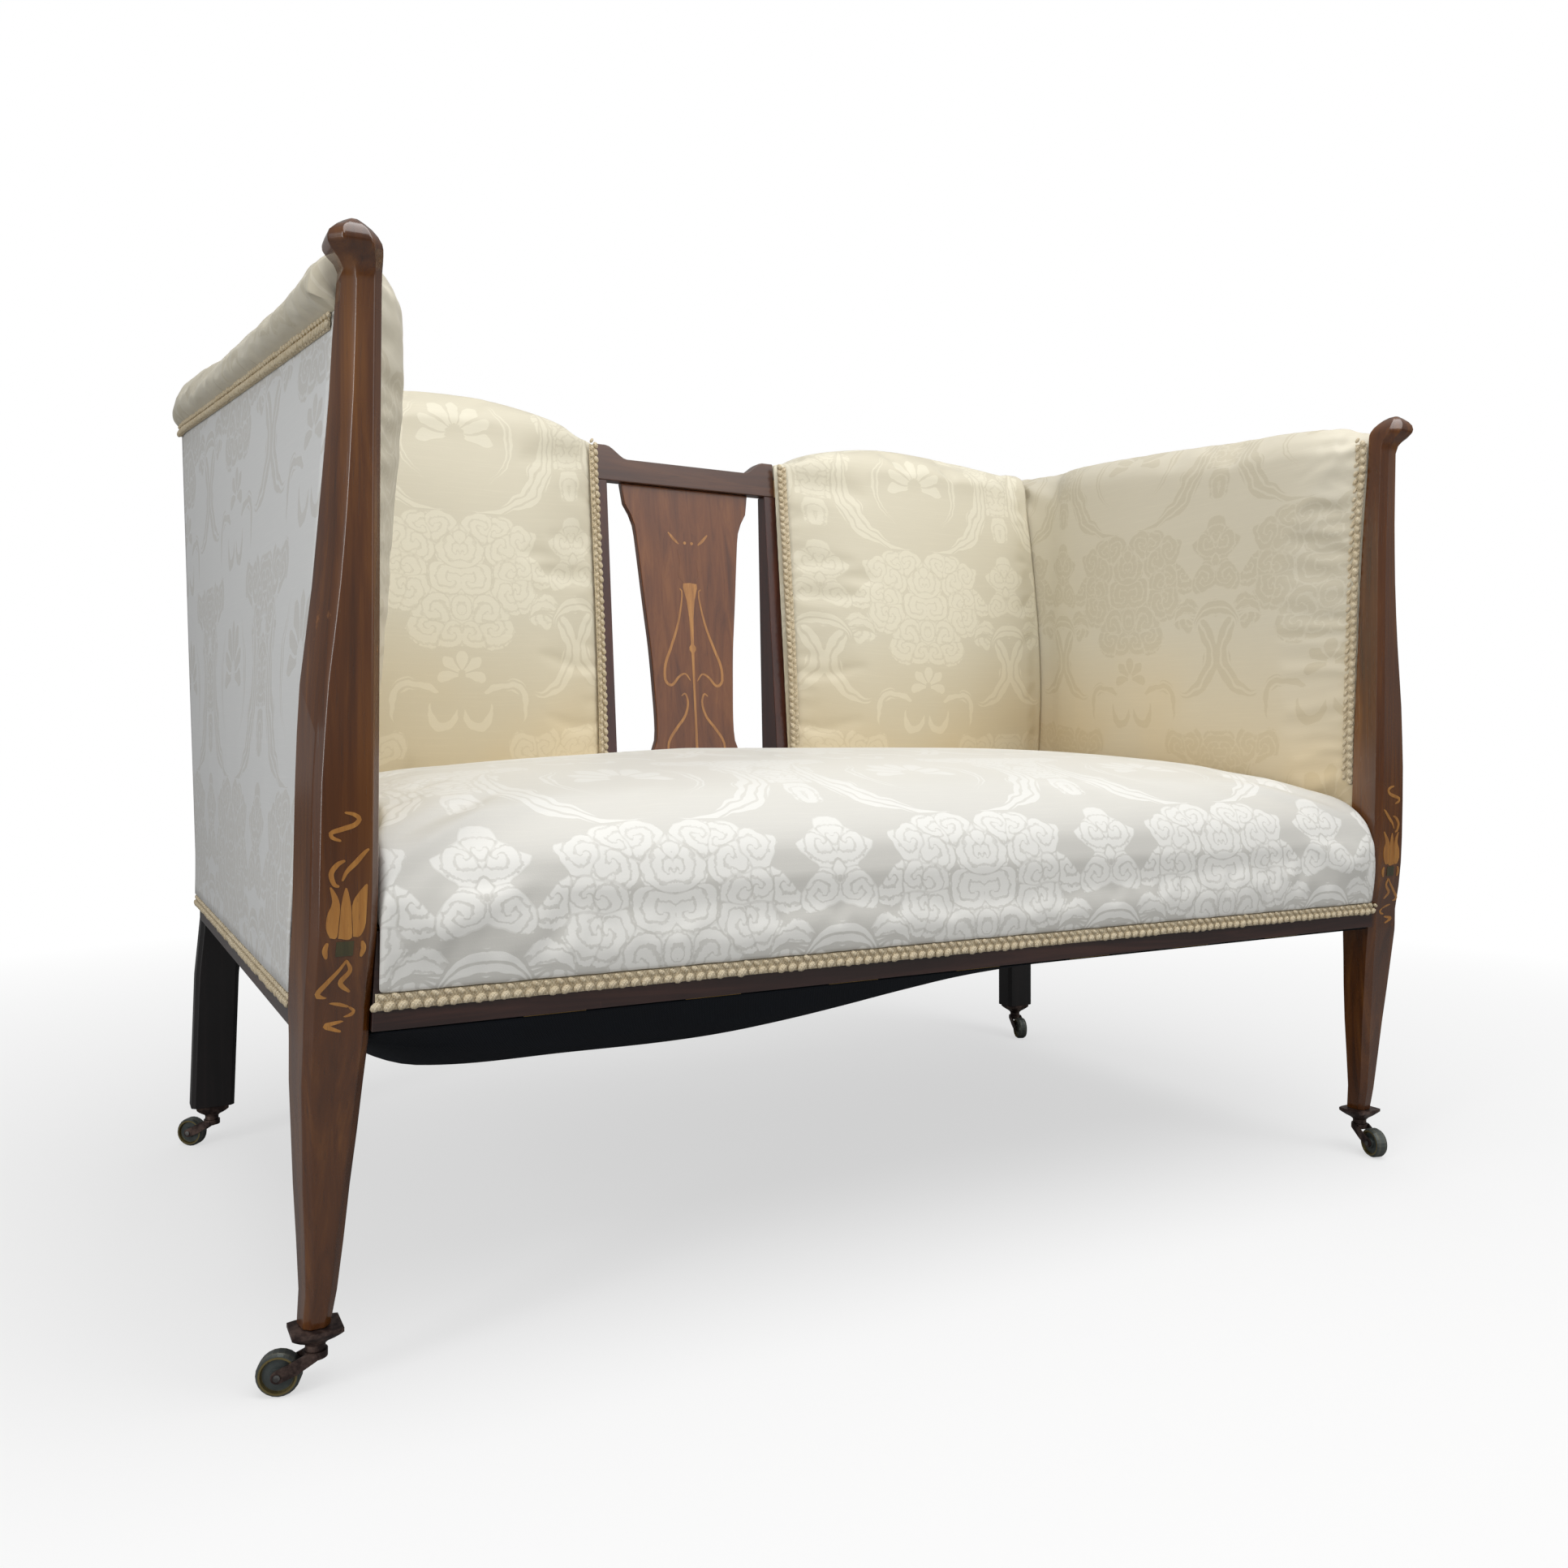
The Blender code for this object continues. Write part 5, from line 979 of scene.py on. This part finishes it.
def makeGimp():
    tree = gimpTree()
    below = body["coverLow"] - gimp["below"]
    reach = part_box("front_gimp")[1].x - 0.001
    points = [place(x, 0.0001, below) for x in np.linspace(-reach, reach, 90)]
    gimpRun("frontGimp", points, [(0, -1, 0)] * 90, tree, 1, "front_gimp")
    for name, side in sides.items():
        points = []
        for along in np.linspace(*gimp["rollSpan"], 80):
            z = rollUnder(min(along * body["legBack"] / body["legFront"], 1)) - 0.0066
            start = float(armStart(z))
            distance = start + (body["legBack"] - start) * along
            points.append(place(side * (float(panelX(z, distance)) + 0.0009), distance, z))
        gimpRun(f"{name}RollGimp", points, [(side, 0, 0)] * 80, tree, side, f"{name}_arm_gimp")
        points = [place(side * (float(sideRailX(distance)) + 0.0003), distance, below)
                  for distance in np.linspace(*gimp["sillSpan"], 80)]
        gimpRun(f"{name}SillGimp", points, [(side, 0, 0)] * 80, tree, side)
        x, inPad = gimp["stileAcross"]
        share = inPad / (backPad["outer"] - backPad["start"])
        points = [place(side * x, float(backPlane(z)) - 0.0018 - float(padDepth(share, z)), z)
                  for z in np.linspace(*gimp["stileSpan"], 60)]
        gimpRun(f"{name}StileGimp", points, [(-0.35 * side, -1, 0)] * 60, tree, -side, f"{name}_stile_gimp")
        points = []
        top = arm["front"] + (arm["back"] - arm["front"]) * float(armRise(0.02))
        for z in np.linspace(*gimp["frontSpan"], 60):
            bulge = float(armFace((z - arm["low"]) / (top - arm["low"])))
            depth = arm["crown"] * float(armLength(0.012)) * bulge
            x = arm["core"][0] - 0.0005 - depth * gimp["tucked"][name]
            points.append(place(side * x, float(armStart(z)) + 0.0064, z))
        gimpRun(f"{name}FrontGimp", points, [(-side, -0.25, 0)] * 60, tree, side)

# Inlay: lines and a tulip let into the posts, whiplash lines and a trumpet in the splat
inlay = {
    "proud": 0.00022, "sunk": 0.0005,
    "postLow": 0.268, "postHigh": 0.421, "postLine": 0.0036, "postWide": 0.046,
    "postLines": [  # sideways share of the post's width, height share, along each line
        [(0.04, 0.012), (-0.08, 0.026), (-0.2, 0.045), (0.06, 0.069), (0.22, 0.101), (0.14, 0.125)],
        [(0.14, 0.125), (-0.14, 0.157), (-0.34, 0.195), (-0.22, 0.243), (-0.04, 0.305), (0.06, 0.35)],
        [(0.14, 0.195), (-0.01, 0.243), (0.12, 0.3), (0.05, 0.35)],
        [(0.33, 0.86), (0.27, 0.845), (0.14, 0.8), (0.0, 0.755), (-0.06, 0.715)],
        [(-0.02, 0.81), (-0.14, 0.79), (-0.22, 0.75), (-0.18, 0.705), (-0.1, 0.69)],
        [(-0.25, 0.435), (-0.28, 0.4), (-0.25, 0.36)], [(0.26, 0.435), (0.29, 0.4), (0.26, 0.36)],
        [(-0.04, 1.03), (0.1, 1.02), (0.18, 0.999), (0.12, 0.974), (-0.06, 0.955), (-0.24, 0.936),
         (-0.22, 0.918),
         (-0.08, 0.899)]],
    "petals": [
        [(-0.22, 0.457), (-0.28, 0.5), (-0.27, 0.56), (-0.2, 0.62), (-0.24, 0.693), (-0.13, 0.65),
         (-0.085, 0.6),
         (-0.1, 0.52), (-0.12, 0.457)],
        [(-0.1, 0.452), (-0.085, 0.53), (-0.065, 0.61), (0.0, 0.687), (0.07, 0.61), (0.09, 0.53),
         (0.1, 0.452)],
        [(0.12, 0.457), (0.105, 0.52), (0.09, 0.6), (0.16, 0.65), (0.32, 0.7), (0.24, 0.62), (0.3, 0.56),
         (0.29, 0.5),
         (0.22, 0.457)]],
    "stained": [(-0.12, 0.368), (-0.12, 0.437), (0.14, 0.437), (0.14, 0.368)],
    "splatLow": 0.432, "splatHigh": 0.819, "splatHalf": 0.095, "splatLine": 0.0038, "earLine": 0.003,
    "splatLines": [  # share of the splat's half width, height share; drawn on both sides
        [(0.17, 0.642), (0.13, 0.63), (0.15, 0.585), (0.22, 0.51), (0.34, 0.43), (0.44, 0.365),
         (0.445, 0.318),
         (0.35, 0.3), (0.23, 0.33), (0.13, 0.34), (0.05, 0.315)],
        [(0.21, 0.262), (0.145, 0.27), (0.11, 0.24), (0.16, 0.195), (0.3, 0.15), (0.43, 0.1), (0.44, 0.055),
         (0.32, 0.0)],
        [(0.15, 0.8), (0.22, 0.815), (0.31, 0.84)]],
    "splatEars": [[(0.1, 0.665), (0.16, 0.69), (0.13, 0.73), (0.17, 0.78)]],
    "stem": [(-0.02, 0.0), (-0.016, 0.3), (-0.022, 0.415), (-0.05, 0.425), (-0.05, 0.435), (-0.022, 0.445),
             (-0.034, 0.54), (-0.062, 0.6), (-0.11, 0.645), (-0.105, 0.66), (0, 0.663), (0.105, 0.66),
             (0.11, 0.645),
             (0.062, 0.6), (0.034, 0.54), (0.022, 0.445), (0.05, 0.435), (0.05, 0.425), (0.022, 0.415),
             (0.016, 0.3),
             (0.02, 0.0)],
    "dots": [(-0.055, 0.805), (0.055, 0.805)], "dotSize": 0.0042,
}
postInner = [(0.2302, 0.5503), (0.261, 0.5475), (0.285, 0.5463), (0.3125, 0.54531), (0.339, 0.54366),
             (0.3679, 0.543), (0.45, 0.543)]
postFront = [(0.2302, 0.0055), (0.261, 0.0009), (0.285, 0.0), (0.3125, -0.00504), (0.339, -0.00864),
             (0.3679, -0.01008),
             (0.4074, -0.01116), (0.4469, -0.01188)]
postWide = [(0.2302, 0.0423), (0.261, 0.04464), (0.285, 0.04534), (0.3125, 0.04557), (0.339, 0.04604),
            (0.3679, 0.0465),
            (0.4074, 0.04604), (0.4469, 0.04534)]
postInnerAt, postFrontAt, postWideAt = (tableCurve(rows) for rows in (postInner, postFront, postWide))

def flatShape(outline, toPlace, outwardWay, finish, name):
    # a flat inlay from an outline of shares, let in a little and standing a hair proud
    work = bmesh.new()
    top, low = ([work.verts.new(Vector(toPlace(*p)) + outwardWay * lift) for p in outline]
                for lift in (inlay["proud"], -inlay["sunk"]))
    work.faces.new(top)
    work.faces.new(low[::-1])
    for i in range(len(outline)):
        j = (i + 1) % len(outline)
        work.faces.new((top[i], low[i], low[j], top[j]))
    bmesh.ops.triangulate(work, faces=[f for f in work.faces if len(f.verts) > 4])
    bmesh.ops.recalc_face_normals(work, faces=work.faces)
    mesh = bpy.data.meshes.new(name)
    work.to_mesh(mesh)
    work.free()
    mesh.materials.append(finishes[finish])
    return newObject(name, mesh)


def swellingLine(points, width, scale, toPlace, outwardWay, finish, name):
    # a strip that swells in its middle and tapers at both ends; scale turns shares into metres
    count, proud, sunk = 48, inlay["proud"], -inlay["sunk"]
    scale = np.array(scale)
    flat = roundPath(points, count) * scale
    tangent = unit(np.gradient(flat, axis=0))
    normal = np.stack([-tangent[:, 1], tangent[:, 0]], 1)
    swell = (0.28 + 0.72 * np.sin(np.linspace(0.12, math.pi - 0.12, count)) ** 0.8) * width / 2
    swell[0] = swell[-1] = width * 0.06
    edges = [(flat + normal * way * swell[:, None]) / scale for way in (1, -1)]
    rings = [[Vector(toPlace(*edges[e][k])) + outwardWay * lift for e, lift in
              ((0, proud), (1, proud), (1, sunk), (0, sunk))] for k in range(count)]
    return tubePiece(name, rings, finish)


def mirrored(line, hand):
    return [(hand * across, up) for across, up in line]


def makeInlays():
    height = inlay["postHigh"] - inlay["postLow"]
    away = Vector((0, -1, 0))
    for name, side in sides.items():
        def onPost(across, up, side=side):
            z = inlay["postLow"] + height * up
            wide = float(postWideAt(z))
            x = float(postInnerAt(z)) + wide / 2 - across * wide
            return place(side * x, float(postFrontAt(z)), z)

        amber = [swellingLine(line, inlay["postLine"], (inlay["postWide"], height), onPost, away,
                              "inlaySatinwood",
                              f"{name}PostLine{i}") for i, line in enumerate(inlay["postLines"])]
        amber += [flatShape(roundPath(shape + shape[:1], 30)[:-1], onPost, away, "inlaySatinwood",
                            f"{name}Petal{i}")
                  for i, shape in enumerate(inlay["petals"])]
        enter(joined(f"{name}PostInlay", amber), "post_mahogany")
        enter(flatShape(inlay["stained"], onPost, away, "inlayStained", f"{name}PostInlayGreen"),
              "post_mahogany")
    low, high = inlay["splatLow"], inlay["splatHigh"]
    half = inlay["splatHalf"]

    def onSplat(across, up):
        z = low + (high - low) * up
        return place(across * half, float(backPlane(z)) + 0.008, z)

    away = Vector((0, -1, body["rake"])).normalized()
    scale = (half, high - low)
    amber, faded = [], []
    circle = [(math.cos(a), math.sin(a)) for a in np.linspace(0, 2 * math.pi, 17)[:-1]]
    for hand, (x, z) in zip((-1, 1), inlay["dots"]):
        for i, line in enumerate(inlay["splatLines"]):
            amber.append(swellingLine(mirrored(line, hand), inlay["splatLine"], scale, onSplat, away,
                                      "inlaySatinwood", f"splatLine{hand}{i}"))
        ring = [(x + inlay["dotSize"] / (2 * half) * across, z + inlay["dotSize"] / (high - low) * 0.5 * up)
                for across, up in circle]
        amber.append(flatShape(ring, onSplat, away, "inlaySatinwood", f"splatDot{hand}"))
        faded += [swellingLine(mirrored(line, hand), inlay["earLine"], scale, onSplat, away, "splatMahogany",
                               f"splatEar{hand}") for line in inlay["splatEars"]]
    amber.append(flatShape(inlay["stem"], onSplat, away, "inlaySatinwood", "splatStem"))
    enter(joined("splatInlay", amber), "splat_mahogany")
    enter(joined("splatInlayFaded", faded), "splat_mahogany")

# Bottom lining: thin black cloth, sagging on the left
lining = {
    "top": 0.2649, "sag": 0.078, "wide": 0.5875, "front": 0.008, "back": 0.6845, "thickness": 0.0009,
    "crease": 0.0011,
    "across": [(0.0, 0.0), (0.045, 0.6), (0.09, 0.93), (0.2, 1.0), (0.32, 1.0), (0.42, 0.8), (0.5, 0.5),
               (0.62, 0.2),
               (0.8, 0.08), (1.0, 0.0)],
    "along": [(0.0, 0.0), (0.08, 0.45), (0.2, 0.82), (0.36, 1.0), (0.6, 0.95), (0.8, 0.6), (1.0, 0.0)],
    "legs": [(0.0, 0.5466), (0.037, 0.5466), (0.0415, 0.5466), (0.043, 0.5875), (0.6, 0.5875),
             (0.6625, 0.5875),
             (0.6638, 0.5595), (0.7, 0.5595)],  # half width by distance, let in around the legs
}


def makeLining():
    sagAcross, sagAlong, legs = (tableCurve(lining[key]) for key in ("across", "along", "legs"))
    grid, uv = [], []
    for share in np.concatenate([np.linspace(0, 0.0618, 12)[:-1], np.linspace(0.0618, 1, 80)]):
        distance = lining["front"] + (lining["back"] - lining["front"]) * share
        slack = float(sagAlong(share))
        xs = np.linspace(-1, 1, 120) * float(legs(distance))
        row = []
        for x in xs:
            loose = float(sagAcross((x + lining["wide"]) / (2 * lining["wide"])))
            creases = lining["crease"] * math.sin(x * 70 + share * 9) * slack * (1 - loose)
            row.append(place(x, distance,
                             lining["top"] - lining["sag"] * loose * slack + creases - 0.0012 * slack))
        grid.append(row)
        uv.append([(x, distance) for x in xs])
    piece = clothSheet("bottomLining", grid, uv, (0, 0, -1), "lining", lining["thickness"])
    enter(piece, "black_lining", "bottom_lining")


# Springs, webbing and hessian inside the seat
springs = {"top": 0.3377, "base": 0.2664, "radius": 0.038, "waist": 0.026, "wire": 0.0018, "turns": 2.6,
           "columns": (-0.40725, -0.1358, 0.1358, 0.40725), "rows": (0.2193, 0.4652)}
webbing = {"height": 0.2648, "weave": 0.0009, "width": 0.05, "thickness": 0.0012, "front": 0.008,
           "back": 0.6845,
           "half": 0.5875, "crossing": (0.1329, 0.5648, 5), "columns": (-0.40725, 0.40725, 7)}
hessian = {"height": 0.3406, "front": 0.008, "corner": 0.0295, "back": 0.6035, "thickness": 0.001,
           "reach": [(0.0, 0.5424), (0.0275, 0.5424), (0.0285, 0.5424), (0.0295, 0.5875), (0.6, 0.5875),
                     (0.7, 0.5875)]}


def springTree():
    tree = Growth("coilSpring", "Places", {
        "End Radius": springs["radius"], "Waist Radius": springs["waist"], "Wire Radius": springs["wire"],
        "Half Height": (springs["top"] - springs["base"]) / 2 - springs["wire"], "Turns": springs["turns"],
    }, "Steel", "Springs")
    given = tree.given
    half = tree.node("GeometryNodeCurveSpiral", None, {
        "Resolution": 20, "Rotations": given["Turns"], "Start Radius": given["Waist Radius"],
        "End Radius": given["End Radius"], "Height": given["Half Height"]})
    other = tree.node("GeometryNodeTransform", None, {"Geometry": half, "Rotation": (math.pi, 0, 0)})
    wire = tree.node("GeometryNodeCurvePrimitiveCircle", None,
                     {"Resolution": 6, "Radius": given["Wire Radius"]})
    coil = tree.node("GeometryNodeCurveToMesh", None,
                     {"Curve": tree.together(half, other), "Profile Curve": wire,
                                                      "Fill Caps": True})
    return tree.planted({"Points": given["Places"], "Instance": coil})


def strapRow(name, lines, crossings, toPlace, along, parity):
    # parallel straps woven over and under the crossing ones
    made = []
    for i, line in enumerate(lines):
        weave = sum(np.exp(-((along - c) / 0.03) ** 2) * (1 if (i + j + parity) % 2 else -1)
                    for j, c in enumerate(crossings))
        levels = webbing["height"] + webbing["weave"] * weave
        points = np.array([toPlace(line, t, z) for t, z in zip(along, levels)])
        outs = np.tile((0.0, 0.0, 1.0), (len(along), 1))
        made.append(strap(f"{name}{i}", points, outs, webbing["width"], webbing["thickness"], "jute"))
    return made


def makeInside():
    height = (springs["top"] + springs["base"]) / 2
    mesh = bpy.data.meshes.new("springPlaces")
    mesh.from_pydata([place(x, d, height) for x in springs["columns"] for d in springs["rows"]], [], [])
    enter(grown("seatSprings", mesh, springTree(), "steel"), "spring_steel", "seat_springs")
    crossing, columns = np.linspace(*webbing["crossing"]), np.linspace(*webbing["columns"])
    backwards = np.linspace(webbing["front"], webbing["back"], 90)
    sideways = np.linspace(-webbing["half"], webbing["half"], 150)
    straps = strapRow("strap", columns, crossing, place, backwards, 0)
    straps += strapRow("crossStrap", crossing, columns, lambda d, x, z: place(x, d, z), sideways, 1)
    enter(joined("seatWebbing", straps), "jute_web", "seat_webbing")
    reach = tableCurve(hessian["reach"])
    front, corner, back = hessian["front"], hessian["corner"], hessian["back"]
    grid, uv = [], []
    for d in np.concatenate([np.linspace(front, corner, 8)[:-1], np.linspace(corner, back, 60)]):
        xs = np.linspace(-1, 1, 90) * float(reach(d))
        dimple = 0.0002 * math.sin(d * 80)
        grid.append([place(x, d, hessian["height"] + dimple * math.sin(x * 90)) for x in xs])
        uv.append([(x, d) for x in xs])
    piece = clothSheet("springHessian", grid, uv, (0, 0, -1), "hessian", hessian["thickness"])
    enter(piece, "hessian", "seat_hessian")


def softened(name, pieceName, bevel, finish, slot):
    # a CAD node with its edges eased, in its own place
    mesh = nodes[name].data.copy()
    work = bmesh.new()
    work.from_mesh(mesh)
    bmesh.ops.remove_doubles(work, verts=work.verts, dist=1e-5)
    bmesh.ops.join_triangles(work, faces=work.faces, angle_face_threshold=0.12, angle_shape_threshold=0.9,
                             cmp_seam=False, cmp_sharp=False, cmp_uvs=False, cmp_vcols=False,
                             cmp_materials=False)
    work.to_mesh(mesh)
    work.free()
    for key in [a.name for a in mesh.attributes if a.name in ("custom_normal", "sharp_face", "sharp_edge")]:
        mesh.attributes.remove(mesh.attributes[key])
    mesh.materials.clear()
    mesh.materials.append(finishes[finish])
    mesh.shade_smooth()
    piece = newObject(pieceName, mesh)
    step = piece.modifiers.new("easedEdges", "BEVEL")
    step.width, step.segments, step.limit_method = bevel, 3, "ANGLE"
    step.angle_limit = math.radians(28)
    step.harden_normals = True
    enter(piece, slot, name)


def makeWood():
    for name in sides:
        softened(f"front_{name}_post", f"{name}FrontPost", 0.0011, "postMahogany", "post_mahogany")
        softened(f"rear_{name}_leg", f"{name}RearLeg", 0.0008, "legEbonised", "dark_mahogany")
        softened(f"{name}_back_stile", f"{name}BackStile", 0.0009, "stileMahogany", "splat_mahogany")
    for name in ("front", "rear", "left", "right"):
        softened(f"{name}_seat_rail", f"{name}SeatRail", 0.0008, "railMahogany", "dark_mahogany")
    softened("crest_rail", "crestRail", 0.0014, "crestMahogany", "splat_mahogany")
    softened("back_splat", "backSplat", 0.0012, "splatMahogany", "splat_mahogany")
    for name, node in nodes.items():
        if "corner_block" in name or name.endswith(("top_rail", "arm_rail")) or name == "lower_back_rail":
            node.data.materials.clear()
            node.data.materials.append(finishes["frameBeech"])

def makeCasters():
    for name, node in nodes.items():
        if "caster" not in name and "swivel_pin" not in name:
            continue
        finish = finishes["brass"]
        if name.endswith(("axle", "pin")):
            finish = finishes["pin"]
        if name.endswith("wheel"):
            low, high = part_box(name)
            finish = wheelFinish(f"{name}Finish", (low + high) / 2)
        node.data.materials.clear()
        node.data.materials.append(finish)


# Camera, light and floor
view = {"eye": (-0.7307, -0.9451, 0.48), "yaw": 28.818, "roll": 0.165, "lens": 29.43, "sensor": 36,
        "shift": -0.0306, "near": 0.05}
light = {"world": 0.3, "floor": 0.6, "aim": (0, 0, 0.45), "lamps": [  # name, place, width, height, power
    ("overLight", (0.1, -0.9, 2.5), 2.6, None, 56.0), ("frontLight", (1.6, -3.0, 1.5), 1.8, None, 10.0),
    ("leftLight", (-2.7, -1.3, 1.1), 0.6, 2.2, 26.0)]}  # tall and narrow, for the posts' chamfers to mirror
ground = {"half": 12, "roughness": 0.9, "specular": 0.1, "lit": (150, 150, 150), "seen": (238, 238, 238)}


def makeCamera():
    camera = newObject("camera", bpy.data.cameras.new("camera"))
    yaw, roll = math.radians(view["yaw"]), math.radians(view["roll"])
    ahead = Vector((math.sin(yaw), math.cos(yaw), 0))
    level, up = Vector((math.cos(yaw), -math.sin(yaw), 0)), Vector((0, 0, 1))
    right = level * math.cos(roll) + up * math.sin(roll)
    upward = up * math.cos(roll) - level * math.sin(roll)
    turn = Matrix((right, upward, -ahead)).transposed().to_4x4()
    camera.matrix_world = Matrix.Translation(place(*view["eye"])) @ turn
    camera.data.lens, camera.data.sensor_width = view["lens"], view["sensor"]
    camera.data.shift_y, camera.data.clip_start = view["shift"], view["near"]
    scene.camera = camera


def makeStage():
    makeCamera()
    for name, spot, wide, tall, power in light["lamps"]:
        lamp = newObject(name, bpy.data.lights.new(name, "AREA"))
        lamp.data.energy, lamp.data.size = power, wide
        if tall:
            lamp.data.shape, lamp.data.size_y = "RECTANGLE", tall
        lamp.location = spot
        lamp.rotation_euler = (Vector(light["aim"]) - Vector(spot)).to_track_quat("-Z", "Y").to_euler()
    half = ground["half"]
    floorMesh = bpy.data.meshes.new("floor")
    floorMesh.from_pydata([(-half, -half, 0), (half, -half, 0), (half, half, 0), (-half, half, 0)], [],
                          [(0, 1, 2, 3)])
    floor = newObject("floor", floorMesh)
    pale = Finish("floorPale", {"Roughness": ground["roughness"], "Specular IOR Level": ground["specular"]})
    glow = pale.node("ShaderNodeEmission", None, {"Color": (1, 1, 1, 1), "Strength": 1.0})
    away = pale.node("ShaderNodeVectorMath", {"operation": "LENGTH"}, [pale.coords()], "Value")
    seen = pale.node("ShaderNodeLightPath", output="Is Camera Ray")
    pale.feed("Base Color", pale.mix(seen, paint(*ground["lit"]), paint(*ground["seen"])))
    share = seen * (away.above(0.7, 0.7) * (1 - light["floor"]) + light["floor"])
    both = pale.node("ShaderNodeMixShader", None, {0: share, 2: glow})
    pale.tree.links.new(pale.shader.outputs[0], both.socket.node.inputs[1])
    pale.tree.links.new(both.socket, pale.tree.nodes["Material Output"].inputs[0])
    floorMesh.materials.append(pale.material)
    world = bpy.data.worlds.new("studio")
    world.use_nodes = True
    scene.world = world
    room = Tree(world.node_tree)
    seen = room.node("ShaderNodeLightPath", output="Is Camera Ray")
    strength = seen * (1 - light["world"]) + light["world"]
    backdrop = world.node_tree.nodes["Background"]
    backdrop.inputs["Color"].default_value = (1, 1, 1, 1)
    world.node_tree.links.new(strength.socket, backdrop.inputs["Strength"])
    scene.view_settings.view_transform = "Standard"


makeStage()
print("stage set")
makeWood()
makeCasters()
print("wood and casters finished")
makeInlays()
print("inlays let in")
makeInside()
makeLining()
print("inside and lining made")
makeSeat()
makeBackPads()
makeArmPads()
makeOutsideCovers()
print("upholstery made")
makeGimp()
print("gimp made")
